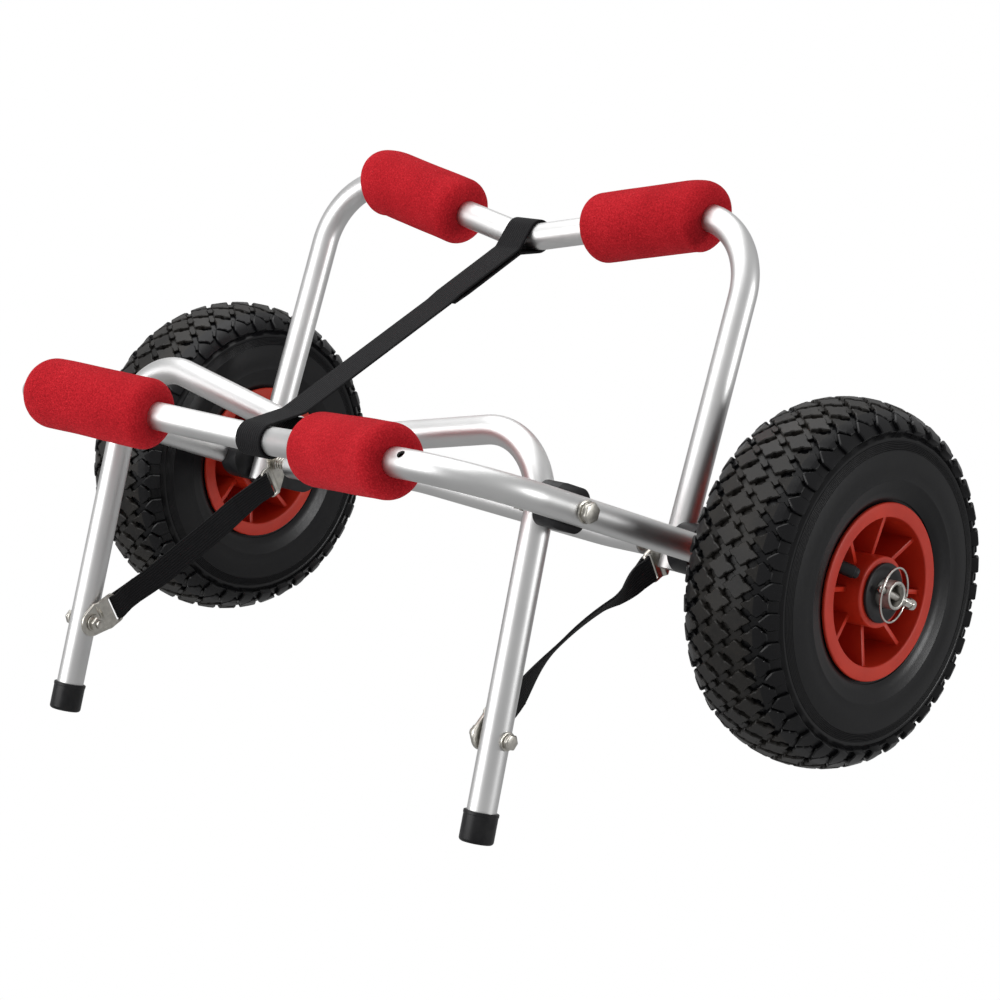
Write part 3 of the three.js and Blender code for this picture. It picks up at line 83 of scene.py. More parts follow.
# Front frame: one length of 20 mm alloy tube, satin anodised, bent into a U with a
# shallow V in its crossbar. It leans forward and up from the rear pivots.
class Wire:
    """An output of a shader node. Maths on wires adds the nodes that work it out."""

    def __init__(self, nodes, socket):
        self.nodes = nodes
        self.socket = socket

    def output(self, name):
        """Another output of the same node."""
        return Wire(self.nodes, self.socket.node.outputs[name])

    def math(self, operation, other=0.0):
        return self.nodes.node("ShaderNodeMath", {"operation": operation}, {0: self, 1: other})

    def __add__(self, other):
        return self.math("ADD", other)

    def __mul__(self, other):
        return self.math("MULTIPLY", other)

    def __gt__(self, other):
        return self.math("GREATER_THAN", other)

    def __lt__(self, other):
        return self.math("LESS_THAN", other)

    __radd__ = __add__
    __rmul__ = __mul__


class Nodes:
    """A tree of shader nodes, added one call at a time."""

    def __init__(self, tree):
        self.tree = tree

    def node(self, kind, settings, inputs, output=0):
        """Adds a node: its settings first, then the values or wires of its sockets."""
        node = self.tree.nodes.new(kind)
        for name, value in settings.items():
            if name == "stops":
                self.set_stops(node.color_ramp.elements, value)
            else:
                setattr(node, name, value)
        for name, value in inputs.items():
            if isinstance(value, Wire):
                self.link(value, node.inputs[name])
            else:
                node.inputs[name].default_value = value
        return Wire(self, node.outputs[output])

    def set_stops(self, elements, stops):
        for number, (place, colour) in enumerate(stops):
            stop = elements[number] if number < len(elements) else elements.new(place)
            stop.position = place
            stop.color = (*colour, 1)

    def link(self, wire, socket):
        self.tree.links.new(wire.socket, socket)


class Finish(Nodes):
    """A material, its nodes, and the CAD slot of the pieces that wear it."""

    def __init__(self, name, colour, roughness, slot=None, metallic=0.0, specular=0.5):
        self.material = bpy.data.materials.new(name)
        self.material.use_nodes = True
        super().__init__(self.material.node_tree)
        self.slot = slot
        self.shader = self.tree.nodes["Principled BSDF"]
        self.shader.inputs["Base Color"].default_value = (*colour, 1)
        self.shader.inputs["Roughness"].default_value = roughness
        self.shader.inputs["Metallic"].default_value = metallic
        self.shader.inputs["Specular IOR Level"].default_value = specular

    def feed(self, socket, wire):
        self.link(wire, self.shader.inputs[socket])

    def place(self):
        return self.node("ShaderNodeTexCoord", {}, {}, output="Object")

    def grain(self, scale, detail=3.0, roughness=0.5):
        inputs = {
            "Vector": self.place(), "Scale": scale, "Detail": detail, "Roughness": roughness
        }
        return self.node("ShaderNodeTexNoise", {}, inputs)

    def tint(self, wire, *stops):
        """Feeds the base colour from a ramp of (place, colour) stops."""
        ramp = self.node("ShaderNodeValToRGB", {"stops": stops}, {"Fac": wire})
        self.feed("Base Color", ramp)

    def emboss(self, height, strength, distance):
        """Feeds the normal from a height."""
        inputs = {"Height": height, "Strength": strength, "Distance": distance}
        self.feed("Normal", self.node("ShaderNodeBump", {}, inputs))


def alloy_finish():
    finish = Finish("satin_alloy", (0.74, 0.74, 0.735), 0.38, "tube_alloy", 1.0)
    clouds = finish.grain(14, 4)
    fine = finish.grain(2600, 2)
    worn = finish.grain(70, 5, 0.65)
    finish.feed("Roughness", 0.35 + clouds * 0.1 + worn * 0.06)
    finish.tint(clouds, (0.3, (0.70, 0.70, 0.70)), (0.7, (0.79, 0.79, 0.785)))
    finish.emboss(fine, 0.18, 0.00004)
    return finish


class BentTube:
    """Tube fed through a bender in the plane of X and Z: straight runs and round bends."""

    def __init__(self, corners, radii, radius, sides=48):
        self.mesh = bmesh.new()
        self.runs = []
        self.length = 0.0
        points = [Vector((x, 0, z)) for x, z in corners]
        self.place = points[0].copy()
        self.heading = (points[1] - points[0]).normalized()
        turn = self.heading.to_track_quat("Z", "Y").to_matrix().to_4x4()
        bmesh.ops.create_circle(
            self.mesh, segments=sides, radius=radius, matrix=Matrix.Translation(self.place) @ turn
        )
        self.front = list(self.mesh.edges)
        for i, bend_radius in enumerate(radii, 1):
            after = (points[i + 1] - points[i]).normalized()
            angle = self.heading.angle(after)
            short = bend_radius * math.tan(angle / 2)
            self.straight((points[i] - self.place).length - short)
            self.bend(bend_radius, angle, self.heading.cross(after).normalized())
        self.straight((points[-1] - self.place).length)

    def straight(self, length):
        self.runs.append((self.length, self.place.copy(), self.heading.copy(), None, None, 0))
        out = bmesh.ops.extrude_edge_only(self.mesh, edges=self.front)["geom"]
        verts = [e for e in out if isinstance(e, BMVert)]
        self.front = [e for e in out if isinstance(e, BMEdge)]
        bmesh.ops.translate(self.mesh, verts=verts, vec=self.heading * length)
        self.place += self.heading * length
        self.length += length

    def bend(self, radius, angle, axis):
        centre = self.place + axis.cross(self.heading) * radius
        self.runs.append(
            (self.length, self.place.copy(), self.heading.copy(), centre, axis.copy(), radius)
        )
        out = bmesh.ops.spin(
            self.mesh,
            geom=self.front,
            cent=centre,
            axis=axis,
            angle=angle,
            steps=max(4, round(angle / BEND_STEP)),
            use_duplicate=False,
        )["geom_last"]
        self.front = [e for e in out if isinstance(e, BMEdge)]
        turn = Matrix.Rotation(angle, 3, axis)
        self.place = centre + turn @ (self.place - centre)
        self.heading = turn @ self.heading
        self.length += radius * angle

    def at(self, distance):
        """The centre line's place and heading at a distance from the tube's start."""
        begun, place, heading, centre, axis, radius = [r for r in self.runs if r[0] <= distance][-1]
        if centre is None:
            return place + heading * (distance - begun), heading
        turn = Matrix.Rotation((distance - begun) / radius, 3, axis)
        return centre + turn @ (place - centre), turn @ heading


def frame_tube(half, foot, reach, rise_share, bend, splay=0.0):
    """The U of a frame: two arms and a crossbar that dips to its middle."""
    spread = math.tan(splay)
    corner_x = (half - reach * spread) / (1 + rise_share * spread)
    corner_z = reach + rise_share * corner_x
    flat_z = reach + rise_share * VEE_FLAT / 2
    right_half = [(VEE_FLAT / 2, flat_z), (corner_x, corner_z), (half - foot * spread, foot)]
    corners = [(-x, z) for x, z in reversed(right_half)] + right_half
    tube = BentTube(corners, [bend, VEE_BEND, VEE_BEND, bend], TUBE_RADIUS)
    return walled(tube)


def walled(tube):
    """Gives a tube's open skin its wall, inwards from its outer face."""
    bmesh.ops.recalc_face_normals(tube.mesh, faces=tube.mesh.faces)
    bmesh.ops.solidify(tube.mesh, geom=list(tube.mesh.faces), thickness=TUBE_WALL)
    return tube


def as_object(mesh, name):
    """An object in the scene that takes a mesh over."""
    data = bpy.data.meshes.new(name)
    mesh.to_mesh(data)
    mesh.free()
    thing = bpy.data.objects.new(name, data)
    bpy.context.scene.collection.objects.link(thing)
    return thing


def carve(mesh, *cutters):
    """Cuts other meshes away from a mesh, and uses them up."""
    bmesh.ops.recalc_face_normals(mesh, faces=mesh.faces)
    body = as_object(mesh.copy(), "scratch")
    tools = []
    for cutter in cutters:
        bmesh.ops.recalc_face_normals(cutter, faces=cutter.faces)
        tools.append(as_object(cutter, "cutter"))
        modifier = body.modifiers.new("cut", "BOOLEAN")
        modifier.operation = "DIFFERENCE"
        modifier.solver = "EXACT"
        modifier.object = tools[-1]
    cut = body.evaluated_get(bpy.context.evaluated_depsgraph_get()).to_mesh()
    mesh.clear()
    mesh.from_mesh(cut)
    for thing in [body, *tools]:
        bpy.data.objects.remove(thing)


def moved(mesh, matrix):
    bmesh.ops.transform(mesh, matrix=matrix, verts=mesh.verts)
    return mesh


def settle(mesh, name, finish, body, nodes, matrix):
    """Makes a finished piece of a mesh: in place, smooth but for its sharp edges, on its body."""
    moved(mesh, matrix)
    bmesh.ops.remove_doubles(mesh, verts=mesh.verts, dist=1e-6)
    bmesh.ops.recalc_face_normals(mesh, faces=mesh.faces)
    piece = as_object(mesh, name)
    piece.data.shade_smooth()
    piece.data.set_sharp_from_angle(angle=SHARP_ANGLE)
    piece.data.materials.append(finish.material)
    if body:
        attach(piece, body)
    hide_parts(*nodes)
    return piece


def middle(node):
    low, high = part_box(node)
    return (low + high) / 2


QUARTER = math.pi / 2
SHARP_ANGLE = math.radians(34)
BEND_STEP = math.radians(3.5)
TUBE_RADIUS = 0.01025
TUBE_WALL = 0.0018
VEE_FLAT = 0.028
VEE_BEND = 0.04
FRONT_HALF = 0.2496
FRONT_REACH = 0.2065
FRONT_RISE_SHARE = 0.228
FRONT_BEND = 0.06
FRONT_FOOT = -0.036
DRAIN_PLACE = 0.190
DRAIN_RADIUS = 0.003
DRAIN_TURN = math.radians(60)

alloy = alloy_finish()
rear_pivot = middle("right_rear_pivot_bolt")
rear_pivot.x = 0
kick_pivot = middle("right_front_pivot_bolt")
kick_pivot.x = 0
FRONT_LEAN = math.atan2(rear_pivot.y - kick_pivot.y, kick_pivot.z - rear_pivot.z)
front_plane = Matrix.Translation(rear_pivot) @ Matrix.Rotation(FRONT_LEAN, 4, "X")

front_tube = frame_tube(FRONT_HALF, FRONT_FOOT, FRONT_REACH, FRONT_RISE_SHARE, FRONT_BEND)
drain = bmesh.new()
drain_place, _ = front_tube.at(front_tube.length / 2 + DRAIN_PLACE)
bmesh.ops.create_cone(
    drain,
    cap_ends=True,
    segments=32,
    radius1=DRAIN_RADIUS,
    radius2=DRAIN_RADIUS,
    depth=2 * TUBE_RADIUS,
    matrix=Matrix.Translation(drain_place)
    @ Matrix.Rotation(DRAIN_TURN - QUARTER, 4, "X")
    @ Matrix.Translation((0, 0, TUBE_RADIUS)),
)
carve(front_tube.mesh, drain)
settle(front_tube.mesh, "front_tube", alloy, "front_frame", ["front_frame_tube"], front_plane)


# Front pads: thick sleeves of red closed-cell foam pushed onto the crossbar, with
# rounded ends. The skin is a fine open grain that catches no gloss.
def foam_finish():
    finish = Finish("red_foam", (0.46, 0.006, 0.011), 0.9, "foam", specular=0.12)
    cells = finish.node(
        "ShaderNodeTexVoronoi", {"feature": "F1"}, {"Vector": finish.place(), "Scale": 1300.0}
    )
    grain = finish.grain(760, 3, 0.8)
    broad = finish.grain(26, 3)
    finish.tint(
        grain * 0.8 + broad * 0.2,
        (0.34, (0.27, 0.005, 0.009)),
        (0.5, (0.42, 0.009, 0.016)),
        (0.66, (0.58, 0.022, 0.031)),
    )
    finish.emboss(cells * 0.5 + grain, 0.9, 0.0007)
    return finish


def turned(profile, sides):
    """Turns an outline, a list of (place along X, radius), about the X axis."""
    mesh = bmesh.new()
    verts = [mesh.verts.new((place, -radius, 0)) for place, radius in profile]
    edges = [mesh.edges.new(pair) for pair in zip(verts, verts[1:])]
    bmesh.ops.spin(
        mesh,
        geom=verts + edges,
        cent=(0, 0, 0),
        axis=(1, 0, 0),
        angle=2 * math.pi,
        steps=sides,
        use_merge=True,
    )
    bmesh.ops.remove_doubles(mesh, verts=mesh.verts, dist=1e-7)
    return mesh


def foam_pad(name, tube, inner, outer, plane, side, body):
    """A sleeve turned about its tube, then bent with it, between two distances from the middle."""
    length = outer - inner
    start = tube.length / 2 + (inner if side > 0 else -outer)
    end = [(PAD_DIMPLE, TUBE_RADIUS)]
    for step in reversed(range(PAD_EDGE_STEPS + 1)):
        angle = QUARTER * step / PAD_EDGE_STEPS
        fall = PAD_ROUND * (1 - math.cos(angle))
        end.append((PAD_ROUND * (1 - math.sin(angle)), PAD_RADIUS - fall))
    rings = int(length / PAD_RING)
    flank = length - 2 * PAD_ROUND
    profile = end + [(PAD_ROUND + flank * i / rings, PAD_RADIUS) for i in range(1, rings)]
    profile += [(length - place, radius) for place, radius in reversed(end)]
    mesh = turned(profile, PAD_SIDES)
    seed = Vector((len(name), inner * PAD_SEED, side))
    for vert in mesh.verts:
        place, heading = tube.at(start + vert.co.x)
        side_way = heading.cross(Vector((0, 1, 0)))
        lump = 1 + PAD_UNEVEN * noise.noise(vert.co * PAD_LUMPS + seed)
        vert.co = place + (side_way * vert.co.y + Vector((0, 1, 0)) * vert.co.z) * lump
    piece = settle(mesh, name, foam, body, [name.replace("foam", "pad")], plane)


PAD_RADIUS = 0.026
PAD_ROUND = 0.0105
PAD_DIMPLE = 0.0015
PAD_RING = 0.003
PAD_EDGE_STEPS = 10
PAD_SIDES = 96
PAD_UNEVEN = 0.012
# how close the unevenness is, and what sets one pad's apart from another's
PAD_LUMPS = 40
PAD_SEED = 90
FRONT_LEFT_SPAN = (0.0945, 0.2015)
FRONT_RIGHT_SPAN = (0.070, 0.177)

foam = foam_finish()
foam_pad("front_left_foam", front_tube, *FRONT_LEFT_SPAN, front_plane, -1, "front_frame")
foam_pad("front_right_foam", front_tube, *FRONT_RIGHT_SPAN, front_plane, 1, "front_frame")


# Rear blocks and front saddles: black moulded nylon, grooved for the front arms. The
# blocks also hold the axles in a round boss.
def nylon_finish():
    finish = Finish("black_nylon", (0.012, 0.012, 0.013), 0.42, "black_plastic", specular=0.3)
    grain = finish.grain(1500, 2)
    scuffs = finish.grain(60, 5, 0.7)
    finish.feed("Roughness", 0.36 + scuffs * 0.16)
    finish.tint(scuffs, (0.4, (0.006, 0.006, 0.007)), (0.75, (0.018, 0.018, 0.020)))
    finish.emboss(grain, 0.25, 0.00008)
    return finish


def slab(outline, near, far):
    """A plate of an outline in Y and Z, from one X to another."""
    mesh = bmesh.new()
    face = mesh.faces.new([mesh.verts.new((near, y, z)) for y, z in outline])
    out = bmesh.ops.extrude_face_region(mesh, geom=[face])["geom"]
    lifted = [e for e in out if isinstance(e, BMVert)]
    bmesh.ops.translate(mesh, verts=lifted, vec=(far - near, 0, 0))
    bmesh.ops.recalc_face_normals(mesh, faces=mesh.faces)
    return mesh


def soften(mesh, width, segments=2, over=math.radians(40)):
    """Rounds every edge that is sharper than an angle."""
    bmesh.ops.bevel(
        mesh,
        geom=[e for e in mesh.edges if len(e.link_faces) == 2 and e.calc_face_angle() > over],
        offset=width,
        affect="EDGES",
        segments=segments,
        profile=0.5,
        material=-1,
        clamp_overlap=True,
    )
    return mesh


def arc(centre, radius, start, end, steps):
    """Points of an arc in a flat outline."""
    angles = [start + (end - start) * step / steps for step in range(steps + 1)]
    return [(centre[0] + radius * math.cos(a), centre[1] + radius * math.sin(a)) for a in angles]


def bar(near, far, radius, sides=48):
    """A plain round bar about X."""
    mesh = turned([(near, 0), (near, radius), (far, radius), (far, 0)], sides)
    bmesh.ops.recalc_face_normals(mesh, faces=mesh.faces)
    return mesh


def arm_groove(low, high):
    """The round groove that a front arm lies in, as a bar along Z."""
    turn = Matrix.Translation((FRONT_HALF, 0, 0)) @ Matrix.Rotation(-QUARTER, 4, "Y")
    return moved(bar(low, high, TUBE_RADIUS + SNUG), turn)


def merge(mesh, *others):
    """Adds other meshes to a mesh, and uses them up."""
    for other in others:
        data = bpy.data.meshes.new("joined")
        other.to_mesh(data)
        other.free()
        mesh.from_mesh(data)
        bpy.data.meshes.remove(data)
    return mesh


def on_side(mesh, side):
    """Mirrors a right-hand mesh for the left."""
    if side < 0:
        bmesh.ops.scale(mesh, verts=mesh.verts, vec=(-1, 1, 1))
        bmesh.ops.reverse_faces(mesh, faces=mesh.faces)
    return mesh


def settle_side(mesh, hand, name, node, finish, body, matrix):
    """Settles a right-hand mesh as one side's piece, in place of that side's CAD node."""
    mesh = on_side(mesh, SIDES[hand])
    return settle(mesh, f"{hand}_{name}", finish, body, [f"{hand}_{node}"], matrix)


SIDES = {"left": -1, "right": 1}
CLEARANCE = 0.0003
SNUG = 0.0002
MOULDED_EDGE = 0.0012
BLOCK_HALF_HEIGHT = 0.018
BLOCK_NOSE = 0.0068
BLOCK_FACE = 0.2465
BOSS_FACE = 0.262
BOSS_RADIUS = 0.0165
OVERLAP = 0.001
BOSS_EDGE = 0.0009
SADDLE_LENGTH = 0.036
SADDLE_HALF_HEIGHT = 0.0155
SADDLE_CORNER = 0.010
REAR_HALF = 0.2182
REAR_ARM_FACE = REAR_HALF + TUBE_RADIUS
KICK_HALF = 0.2193
KICK_PLACE = (kick_pivot - rear_pivot).length
at_kick = front_plane @ Matrix.Translation((0, 0, KICK_PLACE))

nylon = nylon_finish()
_, axle_y, axle_z = front_plane.inverted() @ AXLE
slope = math.atan2(BLOCK_NOSE - axle_z, -axle_y)
block_outline = arc((0, BLOCK_NOSE), BLOCK_HALF_HEIGHT, slope - QUARTER, slope + QUARTER, steps=24)
block_outline += arc(
    (axle_y, axle_z), BLOCK_HALF_HEIGHT, slope + QUARTER, slope + 3 * QUARTER, steps=24
)
tall = SADDLE_HALF_HEIGHT - SADDLE_CORNER
long = SADDLE_LENGTH / 2 - SADDLE_CORNER
saddle_outline = []
for turn, corner in enumerate([(tall, long), (-tall, long), (-tall, -long), (tall, -long)]):
    saddle_outline += arc(corner, SADDLE_CORNER, turn * QUARTER, (turn + 1) * QUARTER, steps=10)

for hand in SIDES:
    block = slab(block_outline, REAR_ARM_FACE + CLEARANCE, BLOCK_FACE)
    carve(block, arm_groove(FRONT_FOOT - CLEARANCE, 2 * BLOCK_HALF_HEIGHT))
    soften(block, MOULDED_EDGE)
    boss = bar(BLOCK_FACE - OVERLAP, BOSS_FACE, BOSS_RADIUS, sides=64)
    bmesh.ops.translate(boss, verts=boss.verts, vec=(0, axle_y, axle_z))
    merge(block, soften(boss, BOSS_EDGE))
    settle_side(block, hand, "block", "rear_block", nylon, "front_frame", front_plane)

    saddle = slab(saddle_outline, KICK_HALF + TUBE_RADIUS + 2 * CLEARANCE, BLOCK_FACE)
    carve(saddle, arm_groove(-SADDLE_LENGTH, SADDLE_LENGTH))
    soften(saddle, MOULDED_EDGE)
    settle_side(saddle, hand, "saddle", "front_saddle", nylon, "front_frame", at_kick)


# Stub axles: hollow zinc-plated steel, cross-drilled near the nose for the lock pin.
# A black sleeve keeps the wheel off the block.
def zinc_finish(name, colour, roughness):
    finish = Finish(name, colour, roughness, "zinc_steel", 1.0)
    blotches = finish.grain(240, 5, 0.6)
    fine = finish.grain(1800, 2)
    dark = tuple(c * 0.78 for c in colour)
    light = tuple(min(1, c * 1.12) for c in colour)
    finish.tint(blotches, (0.32, dark), (0.68, light))
    finish.feed("Roughness", roughness - 0.07 + blotches * 0.16)
    finish.emboss(fine * 0.4 + blotches, 0.3, 0.00012)
    return finish


def sleeve(near, far, radius, bore, sides=64):
    """A plain round sleeve about X."""
    return turned([(near, bore), (near, radius), (far, radius), (far, bore), (near, bore)], sides)


def span(node):
    """How near and how far a CAD node lies from the cart's middle plane."""
    return sorted(abs(corner.x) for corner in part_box(node))


AXLE_RADIUS = 0.010
AXLE_WALL = 0.0024
AXLE_NOSE = 0.372
AXLE_EDGE = 0.0006
SPACER_RADIUS = 0.014
PIN_HOLE_RADIUS = 0.0029
PIN_FROM_NOSE = 0.0055
PIN_SLOPE = math.radians(-31)
at_axle = Matrix.Translation(AXLE)
across_axle = Matrix.Rotation(PIN_SLOPE, 4, "X") @ Matrix.Rotation(QUARTER, 4, "Z")
pin_place = Matrix.Translation((AXLE_NOSE - PIN_FROM_NOSE, 0, 0)) @ across_axle

zinc = zinc_finish("zinc_plate", (0.62, 0.60, 0.55), 0.3)
galvanised = zinc_finish("galvanised_steel", (0.50, 0.49, 0.46), 0.42)
for hand in SIDES:
    root = REAR_ARM_FACE + 2 * CLEARANCE
    axle = soften(sleeve(root, AXLE_NOSE, AXLE_RADIUS, AXLE_RADIUS - AXLE_WALL), AXLE_EDGE)
    carve(axle, moved(bar(-2 * AXLE_RADIUS, 2 * AXLE_RADIUS, PIN_HOLE_RADIUS), pin_place))
    settle_side(axle, hand, "stub_axle", "axle", galvanised, "front_frame", at_axle)
    spacer = sleeve(*span(f"{hand}_axle_spacer"), SPACER_RADIUS, AXLE_RADIUS + CLEARANCE)
    soften(spacer, AXLE_EDGE)
    settle_side(spacer, hand, "spacer", "axle_spacer", nylon, "front_frame", at_axle)


# Pivot bolts: zinc-plated hexagon heads on flat washers, chamfered, through the arms.
# The kickstand's bolts end in nuts inside its legs.
def hexagon(near, far, across_flats, chamfer=0.0009):
    """A hexagonal head about X with its far end chamfered."""
    corner = across_flats / math.sqrt(3)
    side = [(near, corner), (far - chamfer / 2, corner), (far, corner - chamfer)]
    head = turned([(near, 0), *side, (far, 0)], sides=6)
    return soften(head, FINE_EDGE, segments=1, over=math.radians(25))


def hex_bolt(face, tip, sizes, height):
    """A bolt whose head bears on a face, its shank running to smaller X."""
    radius, washer_radius, head = sizes
    seat = face + CLEARANCE
    crown = seat + WASHER
    washer = soften(sleeve(seat, crown, washer_radius, radius, sides=48), FINE_EDGE)
    shank = soften(bar(tip, crown + OVERLAP, radius, sides=32), SHANK_EDGE)
    spring_washer = soften(sleeve(crown, crown + WASHER, head / 2, radius, sides=32), HAIR_EDGE)
    return merge(washer, shank, spring_washer, hexagon(crown + WASHER, crown + height, head))


def hex_nut(face, sizes, height):
    """A nut and washer that bear on a face from its inner side."""
    radius, washer_radius, size = sizes
    seat = face - CLEARANCE
    washer = soften(sleeve(seat - WASHER, seat, washer_radius, radius, sides=48), FINE_EDGE)
    blank = hexagon(0, height, size)
    bmesh.ops.scale(blank, verts=blank.verts, vec=(-1, 1, 1))
    bmesh.ops.translate(blank, verts=blank.verts, vec=(seat - WASHER, 0, 0))
    carve(blank, bar(seat - WASHER - 2 * height, seat, radius + SNUG, sides=32))
    return merge(washer, blank)


FINE_EDGE = 0.0003
HAIR_EDGE = 0.0002
SHANK_EDGE = 0.0005
WASHER = 0.0014
BRACE_END = 0.188
BOLT_IN_BRACE = 0.011
PIVOT_SHANK = 0.004
# shank's and washer's radius, and size across flats
PIVOT_SIZES = (PIVOT_SHANK, 0.008, 0.013)
PIVOT_HEAD_HEIGHT = 0.0053
PIVOT_NUT_HEIGHT = 0.0065
FRONT_ARM_FACE = FRONT_HALF + TUBE_RADIUS

for hand in SIDES:
    bolt = hex_bolt(FRONT_ARM_FACE, BRACE_END - BOLT_IN_BRACE, PIVOT_SIZES, PIVOT_HEAD_HEIGHT)
    settle_side(bolt, hand, "rear_bolt", "rear_pivot_bolt", zinc, "front_frame", front_plane)
    tip, _ = span(f"{hand}_front_pivot_bolt")
    bolt = hex_bolt(FRONT_ARM_FACE, tip, PIVOT_SIZES, PIVOT_HEAD_HEIGHT)
    settle_side(bolt, hand, "front_bolt", "front_pivot_bolt", zinc, "front_frame", at_kick)
    _, nut_face = span(f"{hand}_front_pivot_nut")
    nut = hex_nut(nut_face + CLEARANCE, PIVOT_SIZES, PIVOT_NUT_HEIGHT)
    settle_side(nut, hand, "front_nut", "front_pivot_nut", zinc, "front_frame", at_kick)


# Springs on the rear pivot bolts: bright wire, wound between the brace's ends and the
# anchor plates.
def coil(start, end, radius, wire, turns, sides=10):
    """A round wire wound about X."""
    mesh = bmesh.new()
    pitch = (end - start - 2 * wire) / turns
    slope = math.atan2(pitch, 2 * math.pi * radius)
    turn = Matrix.Translation((start + wire, 0, radius)) @ Matrix.Rotation(QUARTER + slope, 4, "Z")
    bmesh.ops.create_circle(mesh, cap_ends=True, segments=sides, radius=wire)
    moved(mesh, turn @ Matrix.Rotation(QUARTER, 4, "Y"))
    bmesh.ops.spin(
        mesh,
        geom=list(mesh.faces),
        cent=(0, 0, 0),
        dvec=(pitch / COIL_STEPS, 0, 0),
        axis=(1, 0, 0),
        angle=2 * math.pi * turns,
        steps=turns * COIL_STEPS,
        use_duplicate=False,
    )
    return mesh


COIL_STEPS = 28
PLATE = 0.0025
SPRING_RADIUS = 0.0054
SPRING_WIRE = 0.0008
SPRING_TURNS = 5
REAR_INNER_FACE = REAR_HALF - TUBE_RADIUS
SPRING_END = REAR_INNER_FACE - PLATE - 2 * CLEARANCE
at_rear_pivot = Matrix.Translation(rear_pivot)
bright = zinc_finish("spring_steel", (0.72, 0.70, 0.66), 0.2)
for hand in SIDES:
    wound = coil(BRACE_END + CLEARANCE, SPRING_END, SPRING_RADIUS, SPRING_WIRE, SPRING_TURNS)
    settle_side(wound, hand, "bolt_spring", "pivot_spring", bright, "front_frame", at_rear_pivot)


# Cross brace: a bent alloy tube between the rear pivot bolts, with a threaded steel
# insert pressed into each end.
BRACE_STRAIGHT = 0.036
BRACE_RISE = 0.0558
BRACE_BEND = 0.06
BRACE_SLOPE = math.radians(33.4)
INSERT_LENGTH = 0.022
INSERT_RADIUS = TUBE_RADIUS - TUBE_WALL - SNUG
SMALL_EDGE = 0.0004
brace_plane = at_rear_pivot @ Matrix.Rotation(QUARTER - BRACE_SLOPE, 4, "X")
brace_half = [(BRACE_END - BRACE_STRAIGHT, 0), (BRACE_END, 0)]
brace_corners = [(-x, z) for x, z in reversed(brace_half)] + [(0, BRACE_RISE)] + brace_half
brace = walled(BentTube(brace_corners, [BRACE_BEND] * 3, TUBE_RADIUS))
settle(brace.mesh, "brace_tube", alloy, "front_frame", ["cross_brace"], brace_plane)
for hand in SIDES:
    insert = sleeve(
        BRACE_END - INSERT_LENGTH, BRACE_END - CLEARANCE, INSERT_RADIUS, PIVOT_SHANK, sides=40
    )
    soften(insert, SMALL_EDGE)
    settle_side(insert, hand, "insert", "brace_insert", zinc, "front_frame", brace_plane)


# Rear frame: the same tube, leaning back from the pivots, with its own foam sleeves.
# Its arms end in short open tails below the pivots.
REAR_LEAN = math.radians(26.2)
REAR_REACH = 0.2059
REAR_TAIL = 0.017
REAR_RISE_SHARE = 0.2
REAR_BEND = 0.055
REAR_LEFT_SPAN = (0.069, 0.179)
REAR_RIGHT_SPAN = (0.067, 0.1765)
rear_plane = at_rear_pivot @ Matrix.Rotation(-REAR_LEAN, 4, "X")
rear_tube = frame_tube(REAR_HALF, -REAR_TAIL, REAR_REACH, REAR_RISE_SHARE, REAR_BEND)
settle(rear_tube.mesh, "rear_tube", alloy, "rear_frame", ["rear_frame_tube"], rear_plane)
foam_pad("rear_left_foam", rear_tube, *REAR_LEFT_SPAN, rear_plane, -1, "rear_frame")
foam_pad("rear_right_foam", rear_tube, *REAR_RIGHT_SPAN, rear_plane, 1, "rear_frame")


# Kickstand: a third bent tube, its legs splayed a little, with black rubber caps
# pushed on their ends and a small bolt through each leg for the webbing's plate.
def rubber_finish():
    finish = Finish("cap_rubber", (0.010, 0.010, 0.011), 0.5, "black_rubber", specular=0.3)
    dust = finish.grain(90, 5, 0.6)
    finish.feed("Roughness", 0.28 + dust * 0.16)
    finish.tint(dust, (0.4, (0.004, 0.004, 0.005)), (0.8, (0.014, 0.014, 0.015)))
    finish.emboss(finish.grain(700, 3), 0.2, 0.0001)
    return finish


def leg_middle(drop):
    return KICK_HALF + drop * math.tan(KICK_SPLAY)


KICK_SPLAY = math.radians(0.74)
KICK_LENGTH = 0.230
KICK_REACH = 0.0112
KICK_RISE_SHARE = 0.189
KICK_BEND = 0.051
CAP_LENGTH = 0.0213
CAP_RADIUS = 0.01195
CAP_ROUND = 0.0024
CAP_FLOOR = 0.003
CAP_LIP = 0.0026
LIP_SLOPE = 0.0004
LIP_RISE = 0.0003
LEG_SHANK = 0.003
# shank's and washer's radius, and size across flats
LEG_SIZES = (LEG_SHANK, 0.0065, 0.010)
LEG_HEAD_HEIGHT = 0.004
LEG_NUT_HEIGHT = 0.005
LEG_THREAD = 0.0075
LEG_BOLT_DROP = 0.1593

leg_bolt = middle("right_leg_bolt")
KICK_LEAN = math.atan2(kick_pivot.y - leg_bolt.y, kick_pivot.z - leg_bolt.z)
kick_plane = Matrix.Translation(kick_pivot) @ Matrix.Rotation(-KICK_LEAN, 4, "X")
leg_end = CAP_FLOOR + CLEARANCE - KICK_LENGTH
kick_tube = frame_tube(KICK_HALF, leg_end, KICK_REACH, KICK_RISE_SHARE, KICK_BEND, KICK_SPLAY)
settle(kick_tube.mesh, "kick_tube", alloy, "kickstand", ["kickstand_tube"], kick_plane)

